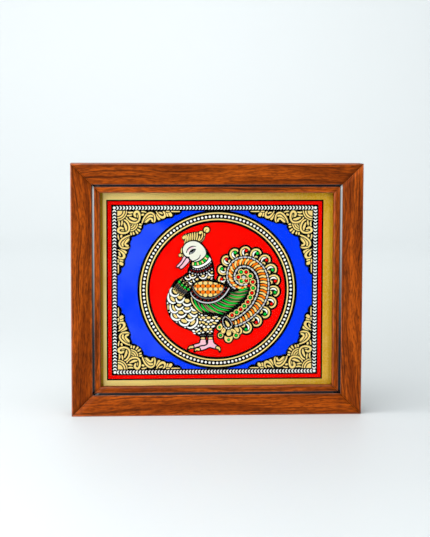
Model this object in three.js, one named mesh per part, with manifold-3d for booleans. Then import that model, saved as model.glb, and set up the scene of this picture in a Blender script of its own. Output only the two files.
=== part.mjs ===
import * as THREE from 'three';
import { mergeVertices } from 'three/addons/utils/BufferGeometryUtils.js';
import Module from 'manifold-3d';

// A small reverse glass painting in a mitred wooden frame, in millimetres.
// X runs from left to right, Y from front to back and Z up. The frame stands
// on the underside of its bottom rail, and the origin is at the middle of the
// floor that it covers.

// The opening that the picture is seen through
const SIGHT_WIDTH = 152.4;
const SIGHT_HEIGHT = 127;

// The moulding, across its face and from front to back
const MOULDING_WIDTH = 19.05;
const MOULDING_DEPTH = 20;
// How far the face falls from the outer edge to the groove
const FACE_FALL = 1.5;
const ARRIS_RADIUS = 0.9;
// The sunk line between the broad face and the narrow inner band
const GROOVE_WIDTH = 1.55;
const GROOVE_DEPTH = 1.5;
const BAND_WIDTH = 3.9;
// How far the inner band lies below the edge of the broad face
const BAND_STEP = 0.5;
const LIP_RADIUS = 1;
// From the front of the inner band back to the shelf that the glass lies on
const LIP_DEPTH = 5.2;
const RABBET_WIDTH = 5;
const ARC_STEPS = 6;
// The open line left between two rails at a mitre
const MITRE_GAP = 0.3;

// What lies in the rabbet, from the front to the back
const GLASS_THICKNESS = 2;
const PAINT_THICKNESS = 0.4;
const BOARD_THICKNESS = 3;
// Free space between the edge of the glass or board and the rabbet
const SHEET_CLEARANCE = 0.8;

// Flat steel points that are pushed into the rabbet behind the board
const POINT_LENGTH = 14;
const POINT_WIDTH = 6;
const POINT_THICKNESS = 0.6;
const POINT_BITE = 6;
const POINT_NOSE = 2;
// The points of a long rail stand this far from its middle
const POINT_SPREAD = 42;
const FIT_CLEARANCE = 0.3;

// The toothed hanging strip on the back of the top rail
const HANGER_LENGTH = 46;
const HANGER_HEIGHT = 8;
const HANGER_PLATE = 0.8;
// How far the toothed middle stands off the wood
const HANGER_STANDOFF = 1.6;
const HANGER_FOOT = 7;
const HANGER_SLOPE = 2;
const TOOTH_COUNT = 9;
const TOOTH_DEPTH = 1.6;

// The two nails that hold the strip
const NAIL_LENGTH = 9;
const NAIL_RADIUS = 0.6;
const NAIL_HEAD_RADIUS = 1.7;
const NAIL_HEAD_THICKNESS = 0.7;
const NAIL_TIP = 1.8;
const ROUND_STEPS = 16;

const OUTER_WIDTH = SIGHT_WIDTH + 2 * MOULDING_WIDTH;
const OUTER_HEIGHT = SIGHT_HEIGHT + 2 * MOULDING_WIDTH;
const TOTAL_DEPTH = MOULDING_DEPTH + HANGER_STANDOFF + HANGER_PLATE;
const FRONT_Y = -TOTAL_DEPTH / 2;
const BACK_Y = FRONT_Y + MOULDING_DEPTH;
const BAND_Y = FRONT_Y + FACE_FALL + BAND_STEP;
const GLASS_Y = BAND_Y + LIP_DEPTH;
const PAINT_Y = GLASS_Y + GLASS_THICKNESS;
const BOARD_Y = PAINT_Y + PAINT_THICKNESS;
const BOARD_BACK_Y = BOARD_Y + BOARD_THICKNESS;
const SHEET_WIDTH = SIGHT_WIDTH + 2 * (RABBET_WIDTH - SHEET_CLEARANCE);
const SHEET_HEIGHT = SIGHT_HEIGHT + 2 * (RABBET_WIDTH - SHEET_CLEARANCE);
// The flat back of a rail, between its outer edge and the rabbet
const BACK_LAND = MOULDING_WIDTH - RABBET_WIDTH;

const wasm = await Module();
wasm.setup();

function toSolid(geometry) {
  const bare = geometry.clone();
  bare.deleteAttribute('normal');
  bare.deleteAttribute('uv');
  const merged = mergeVertices(bare);
  const mesh = new wasm.Mesh({
    numProp: 3,
    vertProperties: new Float32Array(merged.attributes.position.array),
    triVerts: new Uint32Array(merged.index.array),
  });
  return new wasm.Manifold(mesh);
}

function toGeometry(solid) {
  const mesh = solid.getMesh();
  const geometry = new THREE.BufferGeometry();
  geometry.setAttribute('position', new THREE.BufferAttribute(mesh.vertProperties, 3));
  geometry.setIndex(new THREE.BufferAttribute(mesh.triVerts, 1));
  geometry.computeVertexNormals();
  return geometry;
}

function cut(geometry, cutters) {
  let solid = toSolid(geometry);
  for (const cutter of cutters) solid = solid.subtract(toSolid(cutter));
  return toGeometry(solid);
}

// A box from its lowest corner to its highest one
function boxBetween(low, high) {
  const size = high.map((value, axis) => value - low[axis]);
  const box = new THREE.BoxGeometry(...size);
  box.translate(...low.map((value, axis) => value + size[axis] / 2));
  return box;
}

// The moulding's section: x runs inward from the outer edge, y forward from
// the back
function mouldingSection() {
  const faceEdge = MOULDING_DEPTH - FACE_FALL;
  const bandTop = faceEdge - BAND_STEP;
  const shelf = bandTop - LIP_DEPTH;
  const grooveFloor = faceEdge - GROOVE_DEPTH;
  const bandEdge = MOULDING_WIDTH - BAND_WIDTH;
  const shape = new THREE.Shape();
  shape.moveTo(0, 0);
  shape.lineTo(BACK_LAND, 0);
  shape.lineTo(BACK_LAND, shelf);
  shape.lineTo(MOULDING_WIDTH, shelf);
  shape.absarc(MOULDING_WIDTH - LIP_RADIUS, bandTop - LIP_RADIUS, LIP_RADIUS, 0, Math.PI / 2);
  shape.lineTo(bandEdge, bandTop);
  shape.lineTo(bandEdge, grooveFloor);
  shape.lineTo(bandEdge - GROOVE_WIDTH, grooveFloor);
  shape.lineTo(bandEdge - GROOVE_WIDTH, faceEdge);
  shape.absarc(ARRIS_RADIUS, MOULDING_DEPTH - ARRIS_RADIUS, ARRIS_RADIUS, Math.PI / 2, Math.PI);
  return shape;
}

// One mitred rail below the frame's centre, lying along X. Each vertex of its
// ends moves along the rail by its distance from the outer edge.
function railGeometry(length, halfHeight) {
  const rail = new THREE.ExtrudeGeometry(mouldingSection(), {
    depth: length,
    bevelEnabled: false,
    curveSegments: ARC_STEPS,
  });
  const endGap = MITRE_GAP * Math.SQRT1_2;
  const place = rail.attributes.position;
  for (let i = 0; i < place.count; i += 1) {
    const inset = place.getX(i) + endGap;
    const along = place.getZ(i) < length / 2 ? inset : length - inset;
    place.setZ(i, along);
  }
  const turn = new THREE.Matrix4().makeBasis(
    new THREE.Vector3(0, 0, 1),
    new THREE.Vector3(0, -1, 0),
    new THREE.Vector3(1, 0, 0),
  );
  rail.applyMatrix4(turn);
  rail.translate(-length / 2, BACK_Y, -halfHeight);
  return rail;
}

// The slot that a point is pushed into, below the frame's centre
function pointSlot(x, halfHeight) {
  const wall = -halfHeight + BACK_LAND;
  const side = POINT_WIDTH / 2 + FIT_CLEARANCE;
  return boxBetween(
    [x - side, BOARD_BACK_Y - FIT_CLEARANCE, wall - POINT_BITE - FIT_CLEARANCE],
    [x + side, BOARD_BACK_Y + POINT_THICKNESS + FIT_CLEARANCE, wall + FIT_CLEARANCE],
  );
}

// A flat point with a cut-off nose that lies on the back of the board
function pointGeometry(x, halfHeight) {
  const half = POINT_WIDTH / 2;
  const shape = new THREE.Shape();
  shape.moveTo(-half, POINT_LENGTH);
  shape.lineTo(-half, POINT_NOSE);
  shape.lineTo(-half / 2, 0);
  shape.lineTo(half / 2, 0);
  shape.lineTo(half, POINT_NOSE);
  shape.lineTo(half, POINT_LENGTH);
  shape.closePath();
  const point = new THREE.ExtrudeGeometry(shape, { depth: POINT_THICKNESS, bevelEnabled: false });
  point.rotateX(Math.PI / 2);
  point.translate(x, BOARD_BACK_Y + POINT_THICKNESS, 0);
  // rotateX lays the length along Z, from the nose in the wood to the board
  point.translate(0, 0, -halfHeight + BACK_LAND - POINT_BITE);
  return point;
}

const nailX = (HANGER_LENGTH - HANGER_FOOT) / 2;
const hangerZ = (OUTER_HEIGHT - BACK_LAND) / 2;

// A round hole along Y for a nail, from the front y to the back y
function nailHole(x, frontY, backY) {
  const hole = new THREE.CylinderGeometry(
    NAIL_RADIUS + FIT_CLEARANCE,
    NAIL_RADIUS + FIT_CLEARANCE,
    backY - frontY,
    ROUND_STEPS,
  );
  hole.translate(x, (frontY + backY) / 2, hangerZ);
  return hole;
}

// The strip seen from above: two feet on the wood and a raised middle
function hangerGeometry() {
  const end = HANGER_LENGTH / 2;
  const foot = end - HANGER_FOOT;
  const raised = foot - HANGER_SLOPE;
  const top = HANGER_STANDOFF + HANGER_PLATE;
  const shape = new THREE.Shape();
  shape.moveTo(-end, 0);
  shape.lineTo(-foot, 0);
  shape.lineTo(-raised, HANGER_STANDOFF);
  shape.lineTo(raised, HANGER_STANDOFF);
  shape.lineTo(foot, 0);
  shape.lineTo(end, 0);
  shape.lineTo(end, HANGER_PLATE);
  shape.lineTo(foot, HANGER_PLATE);
  shape.lineTo(raised, top);
  shape.lineTo(-raised, top);
  shape.lineTo(-foot, HANGER_PLATE);
  shape.lineTo(-end, HANGER_PLATE);
  shape.closePath();
  const strip = new THREE.ExtrudeGeometry(shape, { depth: HANGER_HEIGHT, bevelEnabled: false });
  strip.translate(0, BACK_Y, hangerZ - HANGER_HEIGHT / 2);
  const holes = [-nailX, nailX].map((x) => nailHole(x, BACK_Y - 1, BACK_Y + top));
  return cut(strip, [toothCutter(raised), ...holes]);
}

// The notches between the teeth, as one zigzag prism under the raised middle
function toothCutter(raised) {
  const pitch = (2 * raised) / TOOTH_COUNT;
  const shape = new THREE.Shape();
  shape.moveTo(-raised, -TOOTH_DEPTH);
  shape.lineTo(raised, -TOOTH_DEPTH);
  for (let i = 0; i < TOOTH_COUNT; i += 1) {
    const right = raised - i * pitch;
    shape.lineTo(right, 0);
    shape.lineTo(right - pitch / 2, TOOTH_DEPTH);
  }
  shape.lineTo(-raised, 0);
  shape.closePath();
  const depth = 2 * (HANGER_STANDOFF + HANGER_PLATE);
  const cutter = new THREE.ExtrudeGeometry(shape, { depth, bevelEnabled: false });
  cutter.rotateX(Math.PI / 2);
  cutter.translate(0, BACK_Y + depth, hangerZ - HANGER_HEIGHT / 2);
  return cutter;
}

// A nail that points forward, with its head behind the strip's foot
function nailGeometry(x) {
  const points = [
    new THREE.Vector2(0, -NAIL_LENGTH),
    new THREE.Vector2(NAIL_RADIUS, NAIL_TIP - NAIL_LENGTH),
    new THREE.Vector2(NAIL_RADIUS, 0),
    new THREE.Vector2(NAIL_HEAD_RADIUS, 0),
    new THREE.Vector2(NAIL_HEAD_RADIUS, NAIL_HEAD_THICKNESS),
    new THREE.Vector2(0, NAIL_HEAD_THICKNESS),
  ];
  const nail = new THREE.LatheGeometry(points, ROUND_STEPS);
  nail.translate(x, BACK_Y + HANGER_PLATE, hangerZ);
  return nail;
}

// A sheet that lies in the rabbet, such as the glass
function sheetGeometry(frontY, thickness) {
  return boxBetween(
    [-SHEET_WIDTH / 2, frontY, -SHEET_HEIGHT / 2],
    [SHEET_WIDTH / 2, frontY + thickness, SHEET_HEIGHT / 2],
  );
}

const wood = new THREE.MeshStandardMaterial({ color: 0x9c4a18, roughness: 0.42 });
const glass = new THREE.MeshStandardMaterial({
  color: 0xe8f2ee,
  roughness: 0.04,
  transparent: true,
  opacity: 0.25,
});
const paint = new THREE.MeshStandardMaterial({ color: 0xc8a04a, roughness: 0.5, metalness: 0.4 });
const hardboard = new THREE.MeshStandardMaterial({ color: 0x6a4a30, roughness: 0.85 });
const steel = new THREE.MeshStandardMaterial({ color: 0xb4b6b8, roughness: 0.35, metalness: 1 });

const painting = new THREE.Group();
painting.position.z = OUTER_HEIGHT / 2;

function addMesh(name, geometry, material, quarterTurns = 0) {
  const mesh = new THREE.Mesh(geometry, material);
  mesh.name = name;
  mesh.rotation.y = (quarterTurns * Math.PI) / 2;
  painting.add(mesh);
}

// Every rail is drawn below the centre and turned about it into its place.
// A positive quarter turn about Y takes the bottom rail to the left side.
const rails = [
  { name: 'bottom_rail', turns: 0, length: OUTER_WIDTH, half: OUTER_HEIGHT / 2, points: 2 },
  { name: 'left_stile', turns: 1, length: OUTER_HEIGHT, half: OUTER_WIDTH / 2, points: 1 },
  { name: 'top_rail', turns: 2, length: OUTER_WIDTH, half: OUTER_HEIGHT / 2, points: 2 },
  { name: 'right_stile', turns: 3, length: OUTER_HEIGHT, half: OUTER_WIDTH / 2, points: 1 },
];

for (const { name, turns, length, half, points } of rails) {
  const places = points === 2 ? [-POINT_SPREAD, POINT_SPREAD] : [0];
  const cutters = places.map((x) => pointSlot(x, half));
  if (name === 'top_rail') {
    const nailEnd = BACK_Y + HANGER_PLATE - NAIL_LENGTH - FIT_CLEARANCE;
    for (const x of [-nailX, nailX]) {
      const hole = nailHole(x, nailEnd, BACK_Y + 1);
      // The rail is cut before its half turn, so its holes are turned back
      cutters.push(hole.rotateY(-Math.PI));
    }
  }
  addMesh(name, cut(railGeometry(length, half), cutters), wood, turns);
  places.forEach((x, i) => {
    const suffix = points === 2 ? `_${i + 1}` : '';
    addMesh(`${name}_point${suffix}`, pointGeometry(x, half), steel, turns);
  });
}

addMesh('glass_pane', sheetGeometry(GLASS_Y, GLASS_THICKNESS), glass);
addMesh('paint_layer', sheetGeometry(PAINT_Y, PAINT_THICKNESS), paint);
addMesh('backing_board', sheetGeometry(BOARD_Y, BOARD_THICKNESS), hardboard);
addMesh('hanging_strip', hangerGeometry(), steel);
addMesh('hanging_strip_nail_left', nailGeometry(-nailX), steel);
addMesh('hanging_strip_nail_right', nailGeometry(nailX), steel);

export default painting;
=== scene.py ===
"""A small painting on the back of a pane of glass, in a mitred wooden frame with a hanging strip.

Lengths in the tables below are in millimetres, and every mesh is made in metres in the model's own frame:
X to the picture's right, Y from the picture to the back, Z up.
"""

import math

import bpy
import numpy as np
from bpy.props import FloatProperty, FloatVectorProperty, PointerProperty
from mathutils import Matrix, Vector
from mathutils.geometry import delaunay_2d_cdt


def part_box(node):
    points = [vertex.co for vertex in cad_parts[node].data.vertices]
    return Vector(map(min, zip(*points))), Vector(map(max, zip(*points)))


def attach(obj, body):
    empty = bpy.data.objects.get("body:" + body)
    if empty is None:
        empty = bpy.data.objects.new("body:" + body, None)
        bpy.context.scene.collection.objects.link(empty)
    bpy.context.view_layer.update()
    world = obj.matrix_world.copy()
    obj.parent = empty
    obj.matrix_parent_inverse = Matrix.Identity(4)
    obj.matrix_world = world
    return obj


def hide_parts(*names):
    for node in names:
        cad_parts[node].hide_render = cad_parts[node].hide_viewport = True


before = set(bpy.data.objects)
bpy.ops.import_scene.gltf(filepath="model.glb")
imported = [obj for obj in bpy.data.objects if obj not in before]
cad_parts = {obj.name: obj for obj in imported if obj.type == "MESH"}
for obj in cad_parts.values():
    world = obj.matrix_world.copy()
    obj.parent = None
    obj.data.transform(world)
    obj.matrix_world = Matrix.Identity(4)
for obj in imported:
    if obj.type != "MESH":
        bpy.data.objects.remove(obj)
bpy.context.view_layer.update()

bl_info = {
    "name": "Framed glass painting",
    "version": (1, 0, 0),
    "blender": (4, 5, 0),
    "location": "3D View > Sidebar > Glass Painting",
    "description": "Dresses a framed reverse glass painting: frame, glass, paint, board and hanging strip",
    "category": "Object",
}

MM = 0.001
DECIMETRE = 100


def node_box(name):
    """Lowest and highest corner of a CAD node, in millimetres."""
    return [np.array(corner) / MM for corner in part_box(name)]


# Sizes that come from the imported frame
BOTTOM_LOW, BOTTOM_HIGH = node_box("bottom_rail")
LEFT_LOW = node_box("left_stile")[0]
TOP_HIGH = node_box("top_rail")[1]
PAINT_LOW, PAINT_HIGH = node_box("paint_layer")
OUTER_HALF = np.array([-LEFT_LOW[0], (TOP_HIGH[2] - BOTTOM_LOW[2]) / 2])
MOULDING_WIDTH = BOTTOM_HIGH[2] - BOTTOM_LOW[2]
MOULDING_DEPTH = BOTTOM_HIGH[1] - BOTTOM_LOW[1]
BACK_Y = BOTTOM_HIGH[1]
MIDDLE_Z = (TOP_HIGH[2] + BOTTOM_LOW[2]) / 2

# The moulding's section, as in the solids
FACE_FALL = 1.5
GROOVE_WIDTH = 1.55
GROOVE_DEPTH = 1.5
BAND_WIDTH = 3.9
BAND_STEP = 0.5
LIP_DEPTH = 5.2
LAND_WIDTH = 14.05
# The line of the sloping face meets the outer side this far above the top of the eased corner
FACE_RISE = 0.106

# How far the section's other corners are eased
BACK_EASE = 0.35
ARRIS_EASE = 0.9
FLOOR_EASE = 0.12
LIP_EASE = 1.0
SHELF_EASE = 0.15
LAND_EASE = 0.05
RABBET_EASE = 0.25
# The band's edge is eased by this share of the ease at the groove's outer rim
BAND_EASE_SHARE = 0.8
EASE_STEPS = 7
RAIL_STATIONS = 40

# Each rail's grain starts at another place of the pattern, along and across it in decimetres
GRAIN_SHIFT = (2.7, 1.3)
# Corners of the section by number: how much the lacquer is worn and lightened there as a painted highlight,
# the groove's outer rim, and on the two stiles the groove's foot at the wall that gets the painted glint
WORN_AND_HIGHLIGHT_CORNERS = {1: 1, 2: 1, 5: 1, 6: 0.35}
GROOVE_RIM = 2
PAINTED_GLINT_CORNERS = {1: 3, 3: 4}

GLASS_CHAMFER = 0.25
# Air between the pane and its paint, so that their faces don't meet
GAP_TO_PAINT = 0.02

NAIL_SHANK_RADIUS = 0.6
NAIL_TIP_RADIUS = 0.05
NAIL_POINT_LENGTH = 1.8
NAIL_HEAD_HEIGHT = 0.7
# The dome of the head ends in a small flat, at this angle in radians above its rim
NAIL_DOME_TURN = 1.45
NAIL_DOME_RINGS = 7
NAIL_SIDES = 24

# Stretches over which a tone rises from nothing to full, in metres: the painted reflection and the gold's
# olive stripes of painted lip shadow along X, and the painted glint on the groove's wall along Z
PAINTED_REFLECTION_STRETCH = (0.055, -0.065)
LEFT_LIP_SHADOW = (-0.0750, -0.0738)
RIGHT_LIP_SHADOW = (0.0732, 0.0752)
PAINTED_GLINT_STRETCH = (0.04, 0.145)

# Each light's width and height, its place and the point that it faces, in metres
LIGHTS = {
    "key": ((0.9, 0.9), (-0.55, -1.3, 0.55), (0, 0, 0.08)),
    "window": ((0.7, 0.9), (-0.75, -0.25, 0.47), (0, 0, 0.12)),
    "top": ((1.2, 1.2), (0.0, -0.45, 1.5), (0, 0, 0)),
    "wall": ((1.6, 1.6), (-0.1, 1.0, 1.7), (0.05, 2.3, 0.9)),
}
SURROUND_TINT = (0.93, 0.97, 1.0, 1)

# The camera's place, the point in the middle of its view and its turn about the line of sight
CAMERA_EYE = Vector((-0.0651, -0.98112, 0.18804))
CAMERA_TARGET = Vector((-0.00098, 0.0, 0.0959))
CAMERA_ROLL = math.radians(0.145)
# In millimetres, as the lens is
SENSOR_WIDTH = 36

# The studio's sheet in metres: where it starts in front, where its rows get close, its half width, its
# height and the bend at its foot
SHEET_FRONT = -3.0
SHEET_NEAR = -1.0
SHEET_HALF_WIDTH = 3.5
SHEET_HEIGHT = 4.0
SHEET_BEND = 0.6
SHEET_BEND_POINTS = 17
SHEET_COLUMNS = 9


# Sizes and colours that a user would change


def colour(red, green, blue):
    """A screen colour of three numbers up to 255 as the linear colour that shaders use."""
    share = np.array([red, green, blue]) / 255
    return tuple(np.where(share < 0.04045, share / 12.92, ((share + 0.055) / 1.055) ** 2.4))


def paint_property(name, default, description):
    """A colour that a user can change. Its default is a screen colour."""
    return FloatVectorProperty(name=name, description=description, default=colour(*default), size=3, min=0,
                               max=1, subtype="COLOR")


def length_property(name, default, description):
    """A length that a user can change. Its default is in millimetres."""
    return FloatProperty(name=name, description=description, default=default * MM, min=0, unit="LENGTH",
                         precision=5)


def power_property(name, default, description):
    """A light's power in watts."""
    return FloatProperty(name=name, description=description, default=default, min=0, unit="POWER")


class FrameFinish(bpy.types.PropertyGroup):
    """Wood, lacquer and easing of the moulding."""
    wood: paint_property("Wood", (122, 49, 5), "Main colour of the lacquered wood")
    wood_light: paint_property("Light grain", (176, 79, 12), "Colour between the dark streaks")
    wood_dark: paint_property("Dark grain", (60, 23, 4), "Colour of the long dark streaks")
    # Lacquer rubbed thin and painted highlight: the eased edges are lightened towards this colour
    wood_edge: paint_property("Worn edge", (206, 140, 110), "Lacquer rubbed thin along the eased edges")
    bare_wood: paint_property("Bare wood", (176, 132, 88), "Unlacquered back and rabbet")
    groove: paint_property("Groove", (9, 9, 12), "Black lacquer in the sunk line")
    mitre_gap: length_property("Mitre gap", 0.14, "Open line between two rails at a mitre")
    edge_ease: length_property("Edge ease", 0.28, "How far the edges beside the groove are rounded over")
    # Painted highlight: the window light's glint drawn into the colour of one groove wall
    glint: paint_property("Groove glint", (186, 190, 190), "Window light on one wall of the groove")


class PaintColours(bpy.types.PropertyGroup):
    """The paints on the back of the glass."""
    ground: paint_property("Gold ground", (250, 218, 134), "Gold round the picture")
    # Painted shade: the gold deepens towards the right, away from the light
    deep_ground: paint_property("Deep gold", (212, 158, 12), "Gold where it is laid thicker")
    # Painted shadow of the frame's lips on the gold beside them
    lip_ground: paint_property("Olive gold", (190, 142, 20), "Gold beside the left and right lips")
    black: paint_property("Black", (7, 6, 8), "Outlines")
    red: paint_property("Red", (250, 4, 0), "Border and roundel")
    blue: paint_property("Blue", (5, 58, 250), "Field between the scrolls")
    gold: paint_property("Motif gold", (246, 216, 132), "Scrolls, rings and feathers")
    white: paint_property("White", (248, 248, 246), "Beads, chevrons and scales")
    cream: paint_property("Cream", (240, 236, 222), "The bird's head")
    orange: paint_property("Orange", (250, 120, 10), "Bars of the tail and wing scales")
    green: paint_property("Green", (0, 205, 52), "Long feathers and dots")
    dark_green: paint_property("Dark green", (10, 118, 36), "Shaded feathers")
    brown: paint_property("Brown", (172, 136, 100), "Fine feather lines")
    pink: paint_property("Pink", (248, 192, 208), "Beak and feet")
    crimson: paint_property("Crimson", (120, 10, 10), "Dots of the dark bands")
    grey: paint_property("Grey", (112, 112, 120), "Fine lines on black")
    silver: paint_property("Silver", (206, 206, 214), "Dashes and rims on black")


class SheetFinish(bpy.types.PropertyGroup):
    """Glass, hardboard and steel."""
    glass: paint_property("Glass", (250, 253, 252), "Tint of the clear glass")
    board: paint_property("Hardboard", (112, 80, 54), "Brown of the pressed board")
    steel: paint_property("Steel", (196, 198, 200), "Bright zinc on the steel parts")


class StudioSettings(bpy.types.PropertyGroup):
    """Floor, backdrop, lights and camera."""
    floor: paint_property("Floor", (214, 219, 220), "Pale floor and backdrop")
    floor_depth: FloatProperty(name="Floor depth", description="From the object to the foot of the backdrop",
                               default=1.4, min=0.2, unit="LENGTH")
    key_power: power_property("Key light", 11.9, "Power of the large light at the upper left")
    window_power: power_property("Window light", 8, "Power of the tall light at the left")
    top_power: power_property("Top light", 10.5, "Power of the light above and in front")
    wall_power: power_property("Wall light", 25.5, "Power of the light on the backdrop")
    surround: FloatProperty(name="Surround", description="Strength of the even light from all sides",
                            default=0.35, min=0)
    lens: FloatProperty(name="Lens", description="Focal length of the camera", default=100.56, min=1,
                        unit="CAMERA")


# Shader maths


class Wire:
    """A node's output socket. An expression on wires and numbers adds the Math nodes that work it out."""

    def __init__(self, finish, socket):
        self.finish = finish
        self.socket = socket

    def maths(self, operation, other):
        """This wire and another wire or number, put together by a Math node."""
        return self.finish.node("Math", {"operation": operation}, {0: self, 1: other})

    def __add__(self, other):
        return self.maths("ADD", other)

    __radd__ = __add__

    def __mul__(self, other):
        return self.maths("MULTIPLY", other)

    __rmul__ = __mul__

    def between(self, low, high):
        """0 below low, 1 above high and a smooth rise between them."""
        return self.finish.node("MapRange", {"interpolation_type": "SMOOTHSTEP"},
                                {"Value": self, "From Min": low, "From Max": high})


class Finish:
    """A material under construction."""

    def __init__(self, name):
        self.material = bpy.data.materials.new(name)
        self.material.use_nodes = True
        self.tree = self.material.node_tree
        self.shader = self.tree.nodes["Principled BSDF"]

    def node(self, kind, settings=None, inputs=None, output=0):
        """Adds a node: its settings come first, then the values or wires of its sockets."""
        node = self.tree.nodes.new("ShaderNode" + kind)
        for name, value in (settings or {}).items():
            setattr(node, name, value)
        for key, value in (inputs or {}).items():
            self.feed(node.inputs[key], value)
        return Wire(self, node.outputs[output])

    def feed(self, socket, value):
        """Links a wire to the socket, or writes a number or colour on it."""
        if isinstance(value, Wire):
            self.tree.links.new(value.socket, socket)
        elif socket.type == "RGBA" and len(value) == 3:
            socket.default_value = (*value, 1)
        else:
            socket.default_value = value

    def mix(self, factor, first, second):
        """Colour mix: the first colour at factor 0 and the second at factor 1."""
        return self.node("Mix", {"data_type": "RGBA"}, {0: factor, 6: first, 7: second}, 2)

    def object_place(self, scale, turn=(0, 0, 0)):
        """The point in the object's own space, stretched by the scale on each axis and then turned."""
        place = self.node("TexCoord", output="Object")
        return self.node("Mapping", None, {"Vector": place, "Rotation": turn, "Scale": scale})

    def stretched(self, place, scale, shift=(0, 0, 0)):
        """The place multiplied by the scale on each axis and then moved by the shift."""
        return self.node("Mapping", None, {"Vector": place, "Scale": scale, "Location": shift})

    def axis(self, place, letter):
        """One of the place's three numbers."""
        return self.node("SeparateXYZ", None, {0: place}, letter)

    def noise(self, place, scale, detail=2.0, roughness=0.5, distortion=0.0):
        """Cloudy noise between 0 and 1. A higher scale makes it finer."""
        return self.node("TexNoise", None, {"Vector": place, "Scale": scale, "Detail": detail,
                                            "Roughness": roughness, "Distortion": distortion})

    def bump(self, height, strength, distance):
        """Surface normals leant by the slopes of the height. The distance is in metres."""
        return self.node("Bump", None, {"Height": height, "Strength": strength, "Distance": distance})

    def set(self, **values):
        """Puts values or wires on the shader's sockets, named in lower case with underscores."""
        for name, value in values.items():
            self.feed(self.shader.inputs[name.replace("_", " ").title().replace("Ior", "IOR")], value)
        return self.material


def lacquered_wood(look):
    """Reddish-brown lacquered wood. The grain runs along the piece's UV map: u along the rail and v across
    it, in decimetres, so that it follows the moulding round its edges. The lacquer is glossier where the
    attribute "edge" says that the surface is eased over."""
    f = Finish("lacquered_wood")
    place = f.node("UVMap", {"uv_map": "grain"})
    edge = f.node("Attribute", {"attribute_name": "edge"}, output="Fac")
    drift = f.noise(f.stretched(place, (0.9, 2.0, 1)), scale=1.0, detail=2.0)
    slant = f.node("VectorMath", {"operation": "ADD"}, {
        0: place, 1: f.node("CombineXYZ", None, {"X": 0.0, "Y": drift * 0.16})})
    broad = f.noise(f.stretched(slant, (1.2, 17, 1)), scale=1.0, detail=3.0, roughness=0.6)
    streak = f.noise(f.stretched(slant, (1.1, 60, 1), (3, 7, 0)), scale=1.0, detail=4.0, roughness=0.6)
    fibre = f.noise(f.stretched(slant, (14, 115, 1)), scale=1.0, detail=3.0, roughness=0.6)
    pores = f.noise(f.stretched(slant, (24, 430, 1)), scale=1.0, detail=1.0, roughness=0.5)
    tone = f.mix(broad.between(0.34, 0.66), tuple(look.wood), tuple(look.wood_light))
    tone = f.mix(fibre.between(0.42, 0.64) * 0.6, tone, tuple(look.wood_dark))
    tone = f.mix(streak.between(0.53, 0.64) * 0.72, tone, tuple(look.wood_dark))
    tone = f.mix(pores.between(0.54, 0.66) * 0.65, tone, tuple(look.wood_dark))
    # Painted highlight along the eased edges, together with lacquer rubbed thin there
    tone = f.mix(edge * 0.28, tone, tuple(look.wood_edge))
    return f.set(base_color=tone, roughness=0.36 + pores * 0.14, specular_ior_level=0.04,
                 coat_weight=edge * 0.9 + broad.between(0.4, 0.7) * 0.03, coat_roughness=0.16,
                 normal=f.bump(fibre + pores, strength=0.15, distance=0.00015))


def bare_wood(look):
    """Sawn, unlacquered wood on the back and in the rabbet."""
    f = Finish("bare_wood")
    place = f.node("UVMap", {"uv_map": "grain"})
    streak = f.noise(f.stretched(place, (3, 70, 1)), scale=1.0, detail=4.0, roughness=0.6)
    saw = f.noise(f.stretched(place, (90, 6, 1)), scale=1.0, detail=2.0, roughness=0.5)
    tone = f.mix(streak.between(0.4, 0.7), tuple(look.bare_wood), tuple(0.45 * v for v in look.bare_wood))
    return f.set(base_color=tone, roughness=0.72 + saw * 0.1,
                 normal=f.bump(saw + streak, strength=0.25, distance=0.0003))


def groove_lacquer(look):
    """Glossy black lacquer in the groove, made uneven by noise. On the wall that the attribute "edge"
    marks, a painted highlight of the window light is mixed into its colour, stronger higher up."""
    f = Finish("groove_lacquer")
    edge = f.node("Attribute", {"attribute_name": "edge"}, output="Fac")
    place = f.object_place((1, 1, 1))
    swell = f.noise(place, scale=60, detail=2.0)
    # Painted highlight: the window's glint mixed into the colour, stronger higher up
    painted_glint_mask = edge.between(0.1, 0.5) * f.axis(place, "Z").between(*PAINTED_GLINT_STRETCH)
    tone = f.mix(swell, tuple(look.groove), tuple(2.2 * v for v in look.groove))
    tone = f.mix(painted_glint_mask, tone, tuple(look.glint))
    return f.set(base_color=tone, roughness=0.10 + swell * 0.08, specular_ior_level=0.3,
                 normal=f.bump(swell, strength=0.05, distance=0.0003))


def clear_glass(look):
    """Clear glass that bends light only a little, so that the picture keeps its place behind it."""
    f = Finish("clear_glass")
    return f.set(base_color=tuple(look.glass), transmission_weight=1.0, roughness=0.0, ior=1.1)


def flat_paint(name, shade, painted_reflection=None, painted_reflection_share=0.0):
    """Brushed paint on the back of the glass: fine brush marks, faint clouds and, for a broad area, a paler
    painted reflection towards the upper left."""
    f = Finish(name)
    shade = np.array(shade)
    place = f.object_place((1, 1, 1))
    cloud = f.noise(place, scale=90, detail=3.0, roughness=0.6)
    tone = f.mix(cloud.between(0.3, 0.75) * 0.5, tuple(shade), tuple(np.minimum(shade * 0.82, 1)))
    if painted_reflection is not None:
        # Painted reflection of the surroundings: a paler cloud towards the left
        wide = f.noise(place, scale=28, detail=2.0, roughness=0.5, distortion=0.6)
        across = f.axis(place, "X").between(*PAINTED_REFLECTION_STRETCH)
        tone = f.mix(wide.between(0.45, 0.75) * across * painted_reflection_share, tone, painted_reflection)
    brush = f.noise(f.object_place((1, 1, 5)), scale=400, detail=2.0)
    return f.set(base_color=tone, roughness=0.55 + cloud * 0.15, specular_ior_level=0.0,
                 normal=f.bump(brush, strength=0.05, distance=0.0001))


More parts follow.
